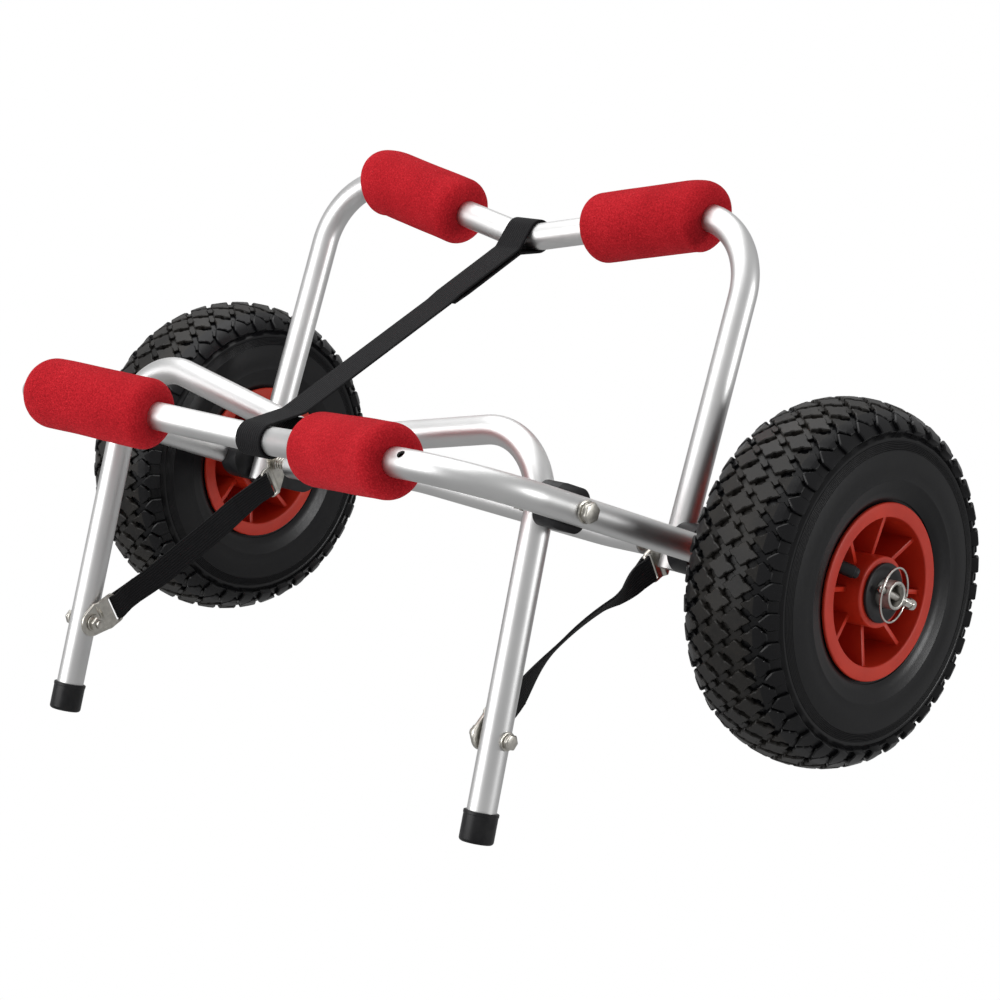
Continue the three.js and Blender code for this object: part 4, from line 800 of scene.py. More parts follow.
rubber = rubber_finish()
cap_profile = [
    (0, 0),
    *arc((CAP_ROUND, CAP_RADIUS - CAP_ROUND), CAP_ROUND, math.pi, QUARTER, steps=6),
    (CAP_LENGTH - CAP_LIP, CAP_RADIUS),
    (CAP_LENGTH - CAP_LIP + LIP_SLOPE, CAP_RADIUS + LIP_RISE),
    (CAP_LENGTH - LIP_SLOPE, CAP_RADIUS + LIP_RISE),
    (CAP_LENGTH, CAP_RADIUS - SNUG),
    (CAP_LENGTH, TUBE_RADIUS),
    (CAP_FLOOR, TUBE_RADIUS),
    (CAP_FLOOR, 0),
]
leg_foot = Matrix.Translation((leg_middle(KICK_LENGTH), 0, -KICK_LENGTH))
cap_place = (
    leg_foot @ Matrix.Rotation(-KICK_SPLAY, 4, "Y") @ Matrix.Rotation(-QUARTER, 4, "Y")
)
at_leg = kick_plane @ Matrix.Translation((0, 0, -LEG_BOLT_DROP))
LEG_INNER_FACE = leg_middle(LEG_BOLT_DROP) - TUBE_RADIUS
LEG_OUTER_FACE = leg_middle(LEG_BOLT_DROP) + TUBE_RADIUS
nut_face = LEG_INNER_FACE - CLEARANCE - PLATE
for hand in SIDES:
    cap = moved(turned(cap_profile, sides=64), cap_place)
    settle_side(cap, hand, "rubber_foot", "foot_cap", rubber, "kickstand", kick_plane)
    bolt = hex_bolt(LEG_OUTER_FACE, nut_face - WASHER - LEG_THREAD, LEG_SIZES, LEG_HEAD_HEIGHT)
    settle_side(bolt, hand, "leg_screw", "leg_bolt", zinc, "kickstand", at_leg)
    nut = hex_nut(nut_face, LEG_SIZES, LEG_NUT_HEIGHT)
    settle_side(nut, hand, "leg_screw_nut", "leg_nut", zinc, "kickstand", at_leg)


# Anchor plates: zinc-plated strip with a round eye on the bolt. The end slotted for the
# webbing is joggled inwards, clear of the tube, and its corners are rounded.
def anchor_plate(face, eye, slot_place, rise, hole):
    """A plate on the inner side of a face. Its slot lies along Y from the bolt and up by a rise."""
    outer = face - CLEARANCE
    inner = outer - PLATE
    half = SLOT_HALF + PLATE_RIM
    end = slot_place + SLOT_WIDTH / 2 + BAR_WIDTH
    low, high = rise - half, rise + half
    start = -math.asin(min(1.0, -low / eye))
    outline = [
        (JOGGLE_START, low),
        *arc((end - PLATE_CORNER, low + PLATE_CORNER), PLATE_CORNER, -QUARTER, 0, steps=6),
        *arc((end - PLATE_CORNER, high - PLATE_CORNER), PLATE_CORNER, 0, QUARTER, steps=6),
        (JOGGLE_START, high),
        *arc((0, 0), eye, QUARTER + EYE_GAP, 4 * QUARTER + start - LOW_EYE_GAP, steps=30),
    ]
    mesh = slab(outline, inner, outer)
    slot_end = SLOT_WIDTH / 2
    slot = [
        *arc((slot_place, high - PLATE_RIM - slot_end), slot_end, 0, 2 * QUARTER, steps=8),
        *arc((slot_place, low + PLATE_RIM + slot_end), slot_end, 2 * QUARTER, 4 * QUARTER, steps=8),
    ]
    through = inner - PLATE, outer + PLATE
    carve(mesh, slab(slot, *through), bar(*through, hole))
    for step in range(JOGGLE_STEPS + 1):
        cut_through(mesh, (0, JOGGLE_START + JOGGLE_LENGTH * step / JOGGLE_STEPS, 0), (0, 1, 0))
    for vert in mesh.verts:
        vert.co.x -= PLATE_JOGGLE * eased((vert.co.y - JOGGLE_START) / JOGGLE_LENGTH)
    return soften(mesh, SMALL_EDGE)


def cut_through(mesh, place, normal):
    """Adds edges where a plane crosses a mesh."""
    everything = [*mesh.verts, *mesh.edges, *mesh.faces]
    bmesh.ops.bisect_plane(mesh, geom=everything, plane_co=place, plane_no=normal)


def eased(share):
    """Nought to one, with a soft start and end."""
    share = min(max(share, 0), 1)
    return share * share * (3 - 2 * share)


PLATE_RIM = 0.0019
PLATE_CORNER = 0.0045
PLATE_JOGGLE = 0.003
JOGGLE_START = 0.0072
JOGGLE_LENGTH = 0.004
JOGGLE_STEPS = 6
SLOT_WIDTH = 0.0036
SLOT_HALF = 0.0106
BAR_WIDTH = 0.0037
# angles about the bolt between the round eye and the straight sides
EYE_GAP = 0.2
LOW_EYE_GAP = 0.35
UPPER_EYE = 0.0125
LOWER_EYE = 0.0105
UPPER_SLOT = 0.0156
UPPER_SLOT_DROP = 0.0088
LOWER_SLOT = 0.020

_, leg_y, leg_z = at_leg.translation - rear_pivot
leg_span = math.hypot(leg_y, leg_z)
LEG_STRAP_ANGLE = math.atan2(leg_z, leg_y) - math.asin(UPPER_SLOT_DROP / leg_span)
at_upper_plate = at_rear_pivot @ Matrix.Rotation(LEG_STRAP_ANGLE, 4, "X")
at_lower_plate = at_leg @ Matrix.Rotation(LEG_STRAP_ANGLE + math.pi + KICK_LEAN, 4, "X")
for hand in SIDES:
    plate = anchor_plate(REAR_INNER_FACE, UPPER_EYE, UPPER_SLOT, UPPER_SLOT_DROP, PIVOT_SHANK)
    settle_side(
        plate, hand, "upper_plate", "upper_anchor_plate", zinc, "front_frame", at_upper_plate
    )
    plate = anchor_plate(LEG_INNER_FACE, LOWER_EYE, LOWER_SLOT, 0, LEG_SHANK)
    settle_side(plate, hand, "lower_plate", "lower_anchor_plate", zinc, "kickstand", at_lower_plate)


# Webbing: black polypropylene with ribs along its length. The hull strap loops round
# both crossbars, doubled and sewn at the rear.
def webbing_finish():
    finish = Finish("black_webbing", (0.008, 0.008, 0.009), 0.75, "webbing", specular=0.18)
    spot = finish.node("ShaderNodeUVMap", {"uv_map": "along"}, {})
    across = finish.node("ShaderNodeSeparateXYZ", {}, {"Vector": spot})
    ribs = (across * (2 * math.pi / RIB_PITCH)).math("SINE")
    picks = (across.output("Y") * (2 * math.pi / PICK_PITCH)).math("SINE")
    fibres = finish.grain(1500, 3)
    shade = ribs * 0.3 + picks * 0.08 + fibres * 0.5 + 0.25
    finish.tint(shade, (0.15, (0.003, 0.003, 0.004)), (0.85, (0.011, 0.011, 0.012)))
    finish.feed("Roughness", 0.6 + fibres * 0.25)
    finish.emboss(ribs * 0.55 + ribs * picks * 0.25 + fibres * 0.3, 0.7, 0.0005)
    return finish


class Path:
    """A line of points in a plane, walked along by distance."""

    def __init__(self, points):
        self.points = [Vector(points[0])]
        for point in points[1:]:
            if (Vector(point) - self.points[-1]).length > 1e-5:
                self.points.append(Vector(point))
        self.places = [0.0]
        for a, b in zip(self.points, self.points[1:]):
            self.places.append(self.places[-1] + (b - a).length)
        self.length = self.places[-1]

    def spot(self, distance):
        distance = min(max(distance, 0.0), self.length)
        last = max(i for i, place in enumerate(self.places) if place <= distance)
        if last == len(self.points) - 1:
            return self.points[-1].copy()
        share = (distance - self.places[last]) / (self.places[last + 1] - self.places[last])
        return self.points[last].lerp(self.points[last + 1], share)


def band(path, width, step=0.0015):
    """Webbing of a width laid along a path, as a solid with soft edges and a UV map in metres."""
    mesh = bmesh.new()
    bmesh.ops.create_grid(mesh, x_segments=8, y_segments=int(path.length / step), size=0.5)
    uv = mesh.loops.layers.uv.new("along")
    for vert in mesh.verts:
        vert.co.x *= width
        vert.co.y = (vert.co.y + 0.5) * path.length
    for face in mesh.faces:
        for loop in face.loops:
            loop[uv].uv = (loop.vert.co.x, loop.vert.co.y)
    for vert in mesh.verts:
        spot = path.spot(vert.co.y)
        vert.co = (vert.co.x, spot.x, spot.y)
    bmesh.ops.recalc_face_normals(mesh, faces=mesh.faces)
    bmesh.ops.solidify(mesh, geom=list(mesh.faces), thickness=WEBBING)
    return soften(mesh, SMALL_EDGE)


def round_the_bar(centre, radius, towards, aside, over):
    """Points round the far side of a bar from where the strap leaves it, between its two plies."""
    first, last = towards - aside, towards + aside
    start = math.atan2(first.y, first.x)
    end = math.atan2(last.y, last.x)
    if over and end > start:
        end -= 2 * math.pi
    if not over and end < start:
        end += 2 * math.pi
    return arc(centre, radius, start, end, LOOP_STEPS)


def perpendicular(vector):
    return Vector((-vector.y, vector.x)).normalized()


def seat(plane, reach, rise_share):
    """The middle of a crossbar's flat, as (y, z)."""
    return (plane @ Vector((0, 0, reach + rise_share * VEE_FLAT / 2))).yz


def hull_spot(bar_place, along, plies=0.0):
    return bar_place + run * along + aside * (ply * plies)


RIB_PITCH = 0.0021
PICK_PITCH = 0.0012
WEBBING = 0.0017
PLY_GAP = 0.0002
LOOP_STEPS = 28
HULL_STRAP_WIDTH = 0.025
HULL_LOOP_SHARE = 0.45
HULL_MEET = 0.0235
SEWN_TO = 0.092
SEWN_TAIL = 0.008
SEWN_STEP = 0.012
TUCK_SHARE = 0.2
HULL_TAIL = 0.010

webbing = webbing_finish()
rear_seat = seat(rear_plane, REAR_REACH, REAR_RISE_SHARE)
front_seat = seat(front_plane, FRONT_REACH, FRONT_RISE_SHARE)
run = (front_seat - rear_seat).normalized()
aside = perpendicular(run)
if aside.y < 0:
    aside = -aside
ply = WEBBING / 2 + PLY_GAP / 2
grip = TUBE_RADIUS + WEBBING / 2
loop_way = run * HULL_LOOP_SHARE
hull_points = [
    hull_spot(rear_seat, SEWN_TO + SEWN_TAIL, -TUCK_SHARE),
    hull_spot(rear_seat, SEWN_TO - SEWN_TAIL, -1),
    hull_spot(rear_seat, HULL_MEET, -1),
    *round_the_bar(rear_seat, grip, loop_way, aside, over=False),
    hull_spot(rear_seat, HULL_MEET, 1),
    hull_spot(rear_seat, SEWN_TO, 1),
    hull_spot(rear_seat, SEWN_TO + SEWN_STEP),
    hull_spot(front_seat, -HULL_MEET - SEWN_STEP, 1),
    *round_the_bar(front_seat, grip, -loop_way, -aside, over=False),
    hull_spot(front_seat, -HULL_MEET, -1),
    hull_spot(front_seat, -HULL_MEET - HULL_TAIL, -1),
]
hull_band = band(Path(hull_points), HULL_STRAP_WIDTH)
hull_piece = settle(hull_band, "hull_webbing", webbing, None, ["hull_strap"], Matrix())
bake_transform(hull_piece)


# Leg straps: the same webbing, 20 mm wide, from plate to plate with its faces to the
# sides. Each loops round both plates' bars, is sewn at the top and bows inwards a little.
BAR_LOOP = math.hypot(BAR_WIDTH, PLATE) / 2 + CLEARANCE + WEBBING / 2
LEG_STRAP_WIDTH = 0.020
LEG_LOOP_SHARE = 0.4
LEG_SEWN = 0.022
SEWN_RUN_OUT = 0.006
LOWER_TAIL = 0.012
LOWER_CROSSING = 0.008
LEG_BOW = 0.005
BOW_STEPS = 12
RIGHT_TWIST = math.radians(47)
LEFT_TWIST = math.radians(16)
MEET_SHARE = 3.2
bar_meet = MEET_SHARE * BAR_LOOP
upper_place = UPPER_SLOT + (SLOT_WIDTH + BAR_WIDTH) / 2
lower_place = LOWER_SLOT + (SLOT_WIDTH + BAR_WIDTH) / 2
leg_run = math.sqrt(leg_span**2 - UPPER_SLOT_DROP**2) - upper_place - lower_place
bar_inset = CLEARANCE + PLATE_JOGGLE + PLATE / 2
upper_bar = Vector((0, REAR_INNER_FACE - bar_inset))
lower_bar = Vector((leg_run, LEG_INNER_FACE - bar_inset))
down = (lower_bar - upper_bar).normalized()
beside = perpendicular(down)


def leg_spot(bar_place, along, plies=0.0):
    return bar_place + down * along + beside * (ply * plies)


def leg_path():
    """The strap's line as (place along it, X): from its sewn end round both bars."""
    first = leg_spot(upper_bar, bar_meet + LEG_SEWN + SEWN_RUN_OUT)
    last = leg_spot(lower_bar, -bar_meet - LOWER_CROSSING - SEWN_RUN_OUT)
    bow = []
    for step in range(BOW_STEPS + 1):
        share = step / BOW_STEPS
        bow.append(first.lerp(last, share) - beside * (4 * LEG_BOW * share * (1 - share)))
    points = [
        leg_spot(upper_bar, bar_meet + LEG_SEWN, -1),
        leg_spot(upper_bar, bar_meet, -1),
        *round_the_bar(upper_bar, BAR_LOOP, down * LEG_LOOP_SHARE, beside, over=True),
        leg_spot(upper_bar, bar_meet, 1),
        leg_spot(upper_bar, bar_meet + LEG_SEWN, 1),
        *bow,
        leg_spot(lower_bar, -bar_meet - LOWER_CROSSING, 1),
        *round_the_bar(lower_bar, BAR_LOOP, -down * LEG_LOOP_SHARE, -beside, over=True),
        leg_spot(lower_bar, -bar_meet, -1),
        leg_spot(lower_bar, -bar_meet - LOWER_TAIL, -1),
    ]
    return Path(points)


# the twist grows below the sewn end and is gone again at the lower plate
TWIST_FROM_SHARE = 0.06
TWIST_GROWTH_SHARE = 0.22
TWIST_UNTIL_SHARE = 0.97
TWIST_FALL_SHARE = 0.4
strap_place = at_upper_plate @ Matrix.Translation((0, upper_place, UPPER_SLOT_DROP))
for hand in SIDES:
    strap = band(leg_path(), LEG_STRAP_WIDTH)
    twist = RIGHT_TWIST if hand == "right" else LEFT_TWIST
    for vert in strap.verts:
        share = vert.co.y / leg_run
        turn = twist * eased((share - TWIST_FROM_SHARE) / TWIST_GROWTH_SHARE)
        turn *= eased((TWIST_UNTIL_SHARE - share) / TWIST_FALL_SHARE)
        centre = upper_bar.y + (lower_bar.y - upper_bar.y) * share
        out = vert.co.z - centre
        across = vert.co.x
        vert.co.x = centre + out * math.cos(turn) - across * math.sin(turn)
        vert.co.z = across * math.cos(turn) + out * math.sin(turn)
    piece = settle_side(strap, hand, "leg_webbing", "leg_strap", webbing, None, strap_place)
    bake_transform(piece)


# Tyres: black rubber on a turned carcass. Diamond blocks stand in staggered rows over
# the crown, with a deep lug on each shoulder, and the sidewall has fine moulded rings.
def tyre_finish():
    finish = Finish("tyre_rubber", (0.014, 0.014, 0.015), 0.5, "tyre_rubber", specular=0.28)
    from_axle = {0: finish.place(), 1: tuple(AXLE)}
    spot = finish.node("ShaderNodeVectorMath", {"operation": "SUBTRACT"}, from_axle)
    y = finish.node("ShaderNodeSeparateXYZ", {}, {"Vector": spot}, output="Y")
    z = y.output("Z")
    radius = (y * y + z * z).math("SQRT")
    grain = finish.grain(420, 4, 0.6)
    dust = finish.grain(35, 5, 0.6)
    crown = radius > CROWN_FROM
    finish.tint(
        dust * 0.45 + grain * 0.2 + crown * 0.35,
        (0.25, (0.003, 0.003, 0.004)),
        (0.55, (0.006, 0.006, 0.0065)),
        (0.95, (0.030, 0.026, 0.021)),
    )
    finish.feed("Roughness", 0.25 + grain * 0.12 + crown * 0.12)
    finish.emboss(grain, 0.2, 0.0002)
    return finish


CROWN_FROM = 0.124
TYRE_SIDES = 144
TREAD_BLOCKS = 36
TREAD_DEPTH = 0.0045
FINE_RIBS = 6
FINE_RIB_FROM = 0.0980
FINE_RIB_PITCH = 0.0011
FINE_RIB_FACE = 0.0407
FINE_RIB_LEAN = 0.00032
# one fine moulded rib of the sidewall, from its root: (outwards, up)
FINE_RIB = ((0, 0), (0.00035, 0.0002), (0.00030, 0.0006), (-0.0001, 0.0008))
RIBBED = []
for step in range(FINE_RIBS):
    rib_radius = FINE_RIB_FROM + FINE_RIB_PITCH * step
    rib_face = FINE_RIB_FACE - FINE_RIB_LEAN * step
    RIBBED += [(rib_face + out, rib_radius + up_by) for out, up_by in FINE_RIB]
# outer side of the carcass from the bead to the middle of the crown: (x, radius)
BEAD = [(0.0340, 0.0560), (0.0356, 0.0580), (0.0357, 0.0628), (0.0362, 0.0642), (0.0372, 0.0644)]
WALL = [
    (0.0377, 0.0654), (0.0386, 0.0668), (0.0400, 0.0710), (0.0411, 0.0770), (0.0413, 0.0775),
    (0.0413, 0.0785), (0.0412, 0.0790), (0.0417, 0.0840), (0.0416, 0.0910), (0.0408, 0.0970),
]
SHOULDER = [
    (0.0388, 0.1045), (0.0392, 0.1052), (0.0391, 0.1066), (0.0384, 0.1074), (0.0374, 0.1080),
    (0.0352, 0.1120), (0.0318, 0.1158),
]
CROWN = [(0.0270, 0.1192), (0.0210, 0.1219), (0.0140, 0.1240), (0.0070, 0.1251), (0, 0.1255)]
CARCASS = BEAD + WALL + RIBBED + SHOULDER + CROWN
LINING = [(-0.031, 0.0560), (-0.036, 0.085), (-0.026, 0.112), (0, 0.1195)]
tread_path = Path(list(reversed(SHOULDER + CROWN)))


def onto_crown(across, around, height):
    """Place on the carcass: across from the middle, around as a distance, out by a height."""
    spot = tread_path.spot(abs(across))
    ahead = tread_path.spot(abs(across) + SLOPE_REACH)
    behind = tread_path.spot(abs(across) - SLOPE_REACH)
    slope = (ahead - behind).normalized()
    x = spot.x - slope.y * height
    radius = spot.y + slope.x * height
    angle = around / (TYRE_HIGH - TREAD_DEPTH)
    return Vector((math.copysign(x, across), -radius * math.cos(angle), radius * math.sin(angle)))


def tread_block(outline, height, bevel=0.0006):
    """One block of tread in flat terms: an outline (across, around) and how high it stands."""
    mesh = bmesh.new()
    face = mesh.faces.new([mesh.verts.new((a, b, -BLOCK_ROOT)) for a, b in outline])
    out = bmesh.ops.extrude_face_region(mesh, geom=[face])["geom"]
    top = [e for e in out if isinstance(e, BMVert)]
    bmesh.ops.translate(mesh, verts=top, vec=(0, 0, height + BLOCK_ROOT))
    centre = sum((v.co for v in top), Vector()) / len(top)
    for vert in top:
        vert.co.x += (centre.x - vert.co.x) * BLOCK_TAPER_SHARE
        vert.co.y += (centre.y - vert.co.y) * BLOCK_TAPER_SHARE
    bmesh.ops.recalc_face_normals(mesh, faces=mesh.faces)
    edges = [e for e in mesh.edges if max(v.co.z for v in e.verts) > 0]
    bmesh.ops.bevel(
        mesh, geom=edges, offset=bevel, affect="EDGES", segments=1, profile=0.5, material=-1
    )
    return mesh


def tread_tile():
    """The blocks of one pitch of tread, in flat terms."""
    tile = bmesh.new()
    for across, phase in ((0, 0), (-COLUMN, 0.5), (COLUMN, 0.5), (-OUTER, 0), (OUTER, 0)):
        block_at = phase * TREAD_PITCH
        outline = [(min(max(x, -OUTER_END), OUTER_END), y) for x, y in diamond(across, block_at)]
        merge(tile, tread_block(outline, TREAD_DEPTH))
        merge(tile, tread_block(tie(across, block_at + TREAD_PITCH / 2), TIE_HEIGHT, SMALL_EDGE))
    for sign in (-1, 1):
        lug = [(sign * across, TREAD_PITCH / 2 + around) for across, around in LUG]
        merge(tile, tread_block(lug, TREAD_DEPTH + LUG_EXTRA, LUG_EDGE))
        floor = [(sign * across, around) for across, around in LUG_FLOOR]
        merge(tile, tread_block(floor, TIE_HEIGHT, FINE_EDGE))
        for across in LUG_CUTS:
            cut_through(tile, (sign * across, 0, 0), (1, 0, 0))
    return tile


def diamond(across, around):
    """A diamond with a shallow notch in the middle of each side."""
    corners = [(-BLOCK_WIDE, 0), (0, -BLOCK_LONG), (BLOCK_WIDE, 0), (0, BLOCK_LONG)]
    size = math.hypot(BLOCK_WIDE, BLOCK_LONG)
    outline = []
    for (x, y), (next_x, next_y) in zip(corners, corners[1:] + corners[:1]):
        wide, tall = next_x - x, next_y - y
        for share, depth in ((0, 0), (0.38, 0), (0.42, NOTCH), (0.58, NOTCH), (0.62, 0)):
            notch_x = x + wide * share - tall / size * depth
            notch_y = y + tall * share + wide / size * depth
            outline.append((across + notch_x, around + notch_y))
    return outline


def tie(across, around):
    """A low cross where two grooves meet."""
    size = math.hypot(BLOCK_WIDE, BLOCK_LONG)
    arms = [(BLOCK_WIDE / size, BLOCK_LONG / size), (-BLOCK_WIDE / size, BLOCK_LONG / size)]
    arms += [(-x, -y) for x, y in arms]
    outline = []
    for (x, y), (next_x, next_y) in zip(arms, arms[1:] + arms[:1]):
        outline.append((x * TIE_REACH + y * TIE_HALF, y * TIE_REACH - x * TIE_HALF))
        outline.append((x * TIE_REACH - y * TIE_HALF, y * TIE_REACH + x * TIE_HALF))
        outline.append(((x + next_x) * TIE_CROTCH, (y + next_y) * TIE_CROTCH))
    return [(across + x, around + y) for x, y in outline]


BLOCK_WIDE = 0.0112
BLOCK_LONG = 0.0088
BLOCK_ROOT = 0.002
BLOCK_TAPER_SHARE = 0.06
SLOPE_REACH = 0.002
NOTCH = 0.0008
OUTER_END = 0.0352
TIE_REACH = 0.0057
TIE_HALF = 0.0021
TIE_CROTCH = 1.1 * TIE_HALF
TIE_HEIGHT = 0.0022
COLUMN = 0.0140
OUTER = 0.0280
# a shoulder lug and the raised floor beside it: (across, around)
LUG = [(0.0285, 0), (0.0350, -0.0070), (0.0422, -0.0064), (0.0422, 0.0064), (0.0350, 0.0070)]
LUG_FLOOR = [(0.0335, -0.0048), (0.0418, -0.0048), (0.0418, 0.0048), (0.0335, 0.0048)]
LUG_EXTRA = 0.0008
LUG_EDGE = 0.0008
# cuts across a lug, so that it can bend with the shoulder
LUG_CUTS = (0.031, 0.033, 0.035, 0.037, 0.039, 0.041)
LONGEST_EDGE = 0.009
TYRE_HIGH = tyre_high.z - AXLE.z
TREAD_PITCH = 2 * math.pi * (TYRE_HIGH - TREAD_DEPTH) / TREAD_BLOCKS

black = tyre_finish()
at_wheel = {}
for hand in SIDES:
    blocks = tread_tile()
    long_edges = [e for e in blocks.edges if e.calc_length() > LONGEST_EDGE]
    bmesh.ops.subdivide_edges(blocks, edges=long_edges, cuts=1, use_grid_fill=True)
    for vert in blocks.verts:
        vert.co = onto_crown(*vert.co)
    bmesh.ops.spin(
        blocks,
        geom=[*blocks.verts, *blocks.edges, *blocks.faces],
        cent=(0, 0, 0),
        axis=(1, 0, 0),
        angle=2 * math.pi * (TREAD_BLOCKS - 1) / TREAD_BLOCKS,
        steps=TREAD_BLOCKS - 1,
        use_duplicate=True,
    )
    skin = CARCASS + [(-x, r) for x, r in reversed(CARCASS[:-1])]
    lining = LINING + [(-x, r) for x, r in reversed(LINING[:-1])]
    carcass = turned(skin + lining + [CARCASS[0]], TYRE_SIDES)
    merge(carcass, blocks)
    at_wheel[hand] = Matrix.Translation((middle(f"{hand}_tyre").x, AXLE.y, AXLE.z))
    settle_side(carcass, hand, "tread_tyre", "tyre", black, f"{hand}_wheel", at_wheel[hand])
    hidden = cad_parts[f"{hand}_inner_tube"].data
    hidden.materials.clear()
    hidden.materials.append(rubber.material)


# Rims: red moulded plastic with a flat flange, a deep well crossed by eight ribs and
# a hub. Black flanged bushes carry it on the axle, and the valve leans out of the well.
def red_finish():
    finish = Finish("red_plastic", (0.42, 0.020, 0.008), 0.4, "red_plastic", specular=0.35)
    flow = finish.grain(30, 3)
    grain = finish.grain(1100, 2)
    finish.tint(flow, (0.3, (0.40, 0.018, 0.006)), (0.7, (0.50, 0.027, 0.009)))
    finish.feed("Roughness", 0.34 + flow * 0.14)
    finish.emboss(grain, 0.2, 0.00006)
    return finish


RIBS = 8
RIB_PHASE = math.radians(29)
RIB_HALF = 0.0017
RIB_HALF_AT_HUB = 0.0275
RIB_HALF_AT_WELL = 0.034
RIB_EDGE = 0.0005
HALF_RIM = 0.039
FLANGE = 0.003
FLANGE_RADIUS = 0.0623
SEAT_RADIUS = 0.0555
WELL_RADIUS = 0.052
WEB = 0.0025
RIM_EDGE = 0.0011
HUB_RADIUS = 0.025
HALF_HUB = 0.0395
BUSH_RADIUS = 0.0135
BUSH_FLANGE_RADIUS = 0.021
BUSH_FLANGE = 0.0025
BUSH_LENGTH = 0.022
BUSH_EDGE = 0.0007
VALVE_BAY = 2.5
VALVE_OFFSET = 0.019
VALVE_TILT = math.radians(45)
VALVE_ROOT = 0.007
VALVE_LENGTH = 0.026
VALVE_RADIUS = 0.003

red = red_finish()
rim_half = [
    (WEB, HUB_RADIUS),
    (WEB, WELL_RADIUS),
    (HALF_RIM, WELL_RADIUS),
    (HALF_RIM, FLANGE_RADIUS),
    (HALF_RIM - FLANGE, FLANGE_RADIUS),
    (HALF_RIM - FLANGE, SEAT_RADIUS),
]
hub_bore = BUSH_RADIUS + SNUG
rim_profile = [(-HALF_HUB, hub_bore), (-HALF_HUB, HUB_RADIUS)]
rim_profile += [(-x, r) for x, r in rim_half] + rim_half[::-1]
rim_profile += [(HALF_HUB, HUB_RADIUS), (HALF_HUB, hub_bore), (-HALF_HUB, hub_bore)]
rib_outline = [
    (HUB_RADIUS - 2 * OVERLAP, RIB_HALF_AT_HUB),
    (WELL_RADIUS + OVERLAP, RIB_HALF_AT_WELL),
    (WELL_RADIUS + OVERLAP, -RIB_HALF_AT_WELL),
    (HUB_RADIUS - 2 * OVERLAP, -RIB_HALF_AT_HUB),
]
# a rib is drawn with its radius along Y and its width along Z
rib_stand = Matrix(((0, 0, 1, 0), (0, 1, 0, 0), (1, 0, 0, 0), (0, 0, 0, 1)))
flange_face = HALF_HUB + CLEARANCE
bush_bore = AXLE_RADIUS + CLEARANCE
bush_profile = [
    (HALF_HUB - BUSH_LENGTH, bush_bore),
    (HALF_HUB - BUSH_LENGTH, BUSH_RADIUS),
    (flange_face, BUSH_RADIUS),
    (flange_face, BUSH_FLANGE_RADIUS),
    (flange_face + BUSH_FLANGE, BUSH_FLANGE_RADIUS),
    (flange_face + BUSH_FLANGE, bush_bore),
    (HALF_HUB - BUSH_LENGTH, bush_bore),
]
valve_place = (
    Matrix.Rotation(RIB_PHASE + 2 * math.pi * VALVE_BAY / RIBS, 4, "X")
    @ Matrix.Translation((VALVE_OFFSET, WELL_RADIUS, 0))
    @ Matrix.Rotation(-QUARTER + VALVE_TILT, 4, "Z")
)
# the valve's cap, its crown stepped in and rounded: (along the valve, radius)
cap_skirt = [(0.0130, 0.0031), (0.0130, 0.0043), (0.0133, 0.0046), (0.0252, 0.0046)]
cap_crown = [(0.0258, 0.0040), (0.0276, 0.0038), (0.0286, 0.0032), (0.0291, 0.0022), (0.0293, 0)]
cap_inside = [(0.0263, 0), (0.0263, 0.0031), (0.0130, 0.0031)]
for hand, side in SIDES.items():
    wheel = f"{hand}_wheel"
    rim = soften(turned(rim_profile, sides=96), RIM_EDGE, segments=3)
    for number in range(RIBS):
        rib = soften(slab(rib_outline, -RIB_HALF, RIB_HALF), RIB_EDGE)
        turn = Matrix.Rotation(RIB_PHASE + 2 * math.pi * number / RIBS, 4, "X")
        merge(rim, moved(rib, turn @ rib_stand))
    settle_side(rim, hand, "red_rim", "rim", red, wheel, at_wheel[hand])
    for face, way in (("outer", side), ("inner", -side)):
        bush = on_side(soften(turned(bush_profile, sides=72), BUSH_EDGE), way)
        name = f"{hand}_{face}_flanged_bush"
        settle(bush, name, nylon, wheel, [f"{hand}_{face}_bush"], at_wheel[hand])
    stem = soften(bar(-VALVE_ROOT, VALVE_LENGTH, VALVE_RADIUS, sides=32), SMALL_EDGE)
    moved(stem, valve_place)
    settle_side(
        stem, hand, "valve_body", "valve_stem", rubber, wheel, at_wheel[hand]
    )
    cap = moved(turned(cap_skirt + cap_crown + cap_inside, sides=40), valve_place)
    settle_side(cap, hand, "valve_cover", "valve_cap", nylon, wheel, at_wheel[hand])


# Lock pins: each has a plain shank through the axle nose, a small coil under its
# collar and a wire ring that swings over the nose to hold it in.
RING_RADIUS = 0.019
RING_WIRE = 0.0008
RING_HINGE = 0.0185
RING_TILT = math.radians(9)
RING_STEPS = 72
PIN_TIP = -0.0155
PIN_RADIUS = 0.0026
PIN_COLLAR = 0.016
PIN_COLLAR_RADIUS = 0.0032
PIN_HEAD = 0.023
PIN_HEAD_RADIUS = 0.0043
PIN_END = 0.027
RING_GAP = 0.0036
RING_ENTRY = math.asin(RING_GAP / RING_RADIUS)
PIN_SPRING_END = 0.0157
PIN_SPRING_RADIUS = 0.0035
PIN_SPRING_WIRE = 0.00035
PIN_SPRING_TURNS = 3

pin_profile = [
    (PIN_TIP, 0),
    (PIN_TIP, PIN_RADIUS / 2),
    (PIN_TIP + PIN_RADIUS / 2, PIN_RADIUS),
    (PIN_COLLAR, PIN_RADIUS),
    (PIN_COLLAR, PIN_COLLAR_RADIUS),
    (PIN_HEAD, PIN_COLLAR_RADIUS),
    (PIN_HEAD, PIN_HEAD_RADIUS),
    (PIN_END, PIN_HEAD_RADIUS),
    (PIN_END, 0),
]
swing = (
    pin_place
    @ Matrix.Translation((RING_HINGE, 0, 0))
    @ Matrix.Rotation(RING_TILT, 4, "Z")
    @ Matrix.Translation((-RING_RADIUS, 0, 0))
)


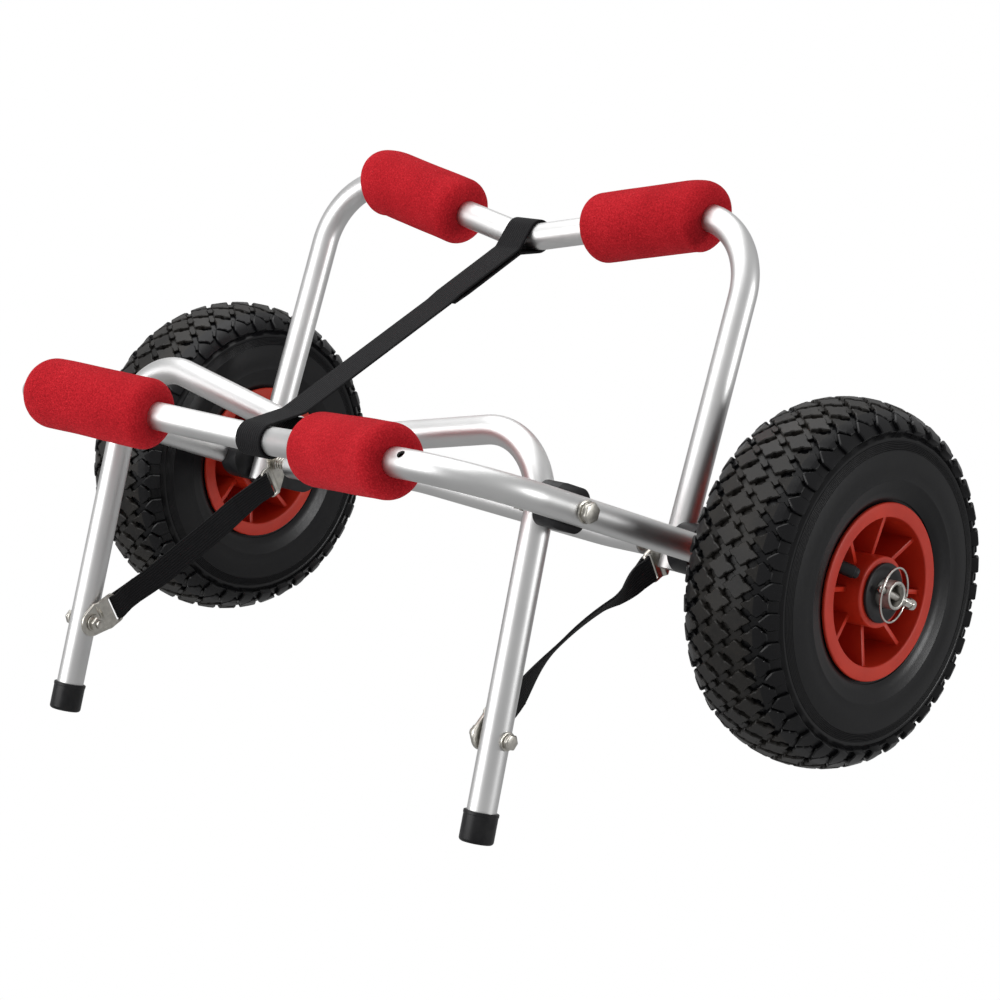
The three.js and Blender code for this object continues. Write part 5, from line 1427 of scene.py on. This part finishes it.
def wire_ring():
    """A ring of wire in the plane of X and Z, open by a small gap where the pin's head is."""
    ring = bmesh.new()
    start = Matrix.Translation((RING_RADIUS, 0, 0))
    bmesh.ops.create_circle(ring, cap_ends=True, segments=12, radius=RING_WIRE, matrix=start)
    moved(ring, Matrix.Rotation(-RING_ENTRY, 4, "Y"))
    bmesh.ops.spin(
        ring,
        geom=list(ring.faces),
        cent=(0, 0, 0),
        axis=(0, 1, 0),
        angle=2 * RING_ENTRY - 2 * math.pi,
        steps=RING_STEPS,
        use_duplicate=False,
    )
    return ring


for hand in SIDES:
    pin = moved(soften(turned(pin_profile, sides=40), SMALL_EDGE), pin_place)
    settle_side(pin, hand, "pull_pin", "lock_pin", bright, f"{hand}_lock_pin", at_axle)
    small = coil(
        AXLE_RADIUS + CLEARANCE,
        PIN_SPRING_END,
        PIN_SPRING_RADIUS,
        PIN_SPRING_WIRE,
        PIN_SPRING_TURNS,
        sides=8,
    )
    moved(small, pin_place)
    settle_side(small, hand, "small_spring", "pin_spring", bright, f"{hand}_lock_pin", at_axle)
    ring = moved(wire_ring(), swing)
    settle_side(ring, hand, "wire_ring", "lock_ring", bright, f"{hand}_lock_ring", at_axle)


# Studio: a pale floor and a white surround, with broad lamps overhead, to the camera's
# left and low on its right.
def studio_paper():
    paper = Finish("paper", (0.86, 0.86, 0.86), 0.9)
    seen = paper.node("ShaderNodeLightPath", {}, {}, output="Is Camera Ray")
    strength = seen * (1 - GLOSSY_FLOOR) + GLOSSY_FLOOR
    glow = paper.node("ShaderNodeEmission", {}, {"Strength": strength})
    share = seen.math("MAXIMUM", seen.output("Is Glossy Ray"))
    plain = Wire(paper, paper.shader.outputs[0])
    mix = paper.node("ShaderNodeMixShader", {}, {"Fac": share, 1: plain, 2: glow})
    paper.link(mix, paper.tree.nodes["Material Output"].inputs["Surface"])
    return paper.material


GLOSSY_FLOOR = 0.4
FLOOR_HALF = 6
FLOOR_DROP = 0.0005
sheet = bmesh.new()
bmesh.ops.create_grid(sheet, x_segments=1, y_segments=1, size=FLOOR_HALF)
floor = as_object(sheet, "floor")
floor.location.z = -FLOOR_DROP
floor.data.materials.append(studio_paper())

DIFFUSE_SURROUND = 0.35
GLOSSY_SURROUND = 0.48
world = bpy.data.worlds.new("surround")
world.use_nodes = True
bpy.context.scene.world = world
sky = Nodes(world.node_tree)
background = world.node_tree.nodes["Background"]
background.inputs["Color"].default_value = (1, 1, 1, 1)
seen = sky.node("ShaderNodeLightPath", {}, {}, output="Is Camera Ray")
bounced = seen.output("Is Glossy Ray") * (GLOSSY_SURROUND - DIFFUSE_SURROUND) + DIFFUSE_SURROUND
sky.link(seen.math("MAXIMUM", bounced), background.inputs["Strength"])


def lamp(name, place, width, height, power):
    light = bpy.data.lights.new(name, "AREA")
    light.shape = "RECTANGLE"
    light.size = width
    light.size_y = height
    light.energy = power
    holder = bpy.data.objects.new(name, light)
    holder.location = place
    holder.rotation_euler = (AXLE - holder.location).to_track_quat("-Z", "Y").to_euler()
    bpy.context.scene.collection.objects.link(holder)


lamp("overhead", (-0.3, 0.0, 1.7), width=2.6, height=1.8, power=28)
lamp("left_window", (-0.8, -1.9, 0.9), width=1.8, height=1.4, power=24)
lamp("low_panel", (2.3, 0.95, 0.28), width=0.5, height=0.5, power=14)

bpy.context.scene.view_settings.view_transform = "Standard"
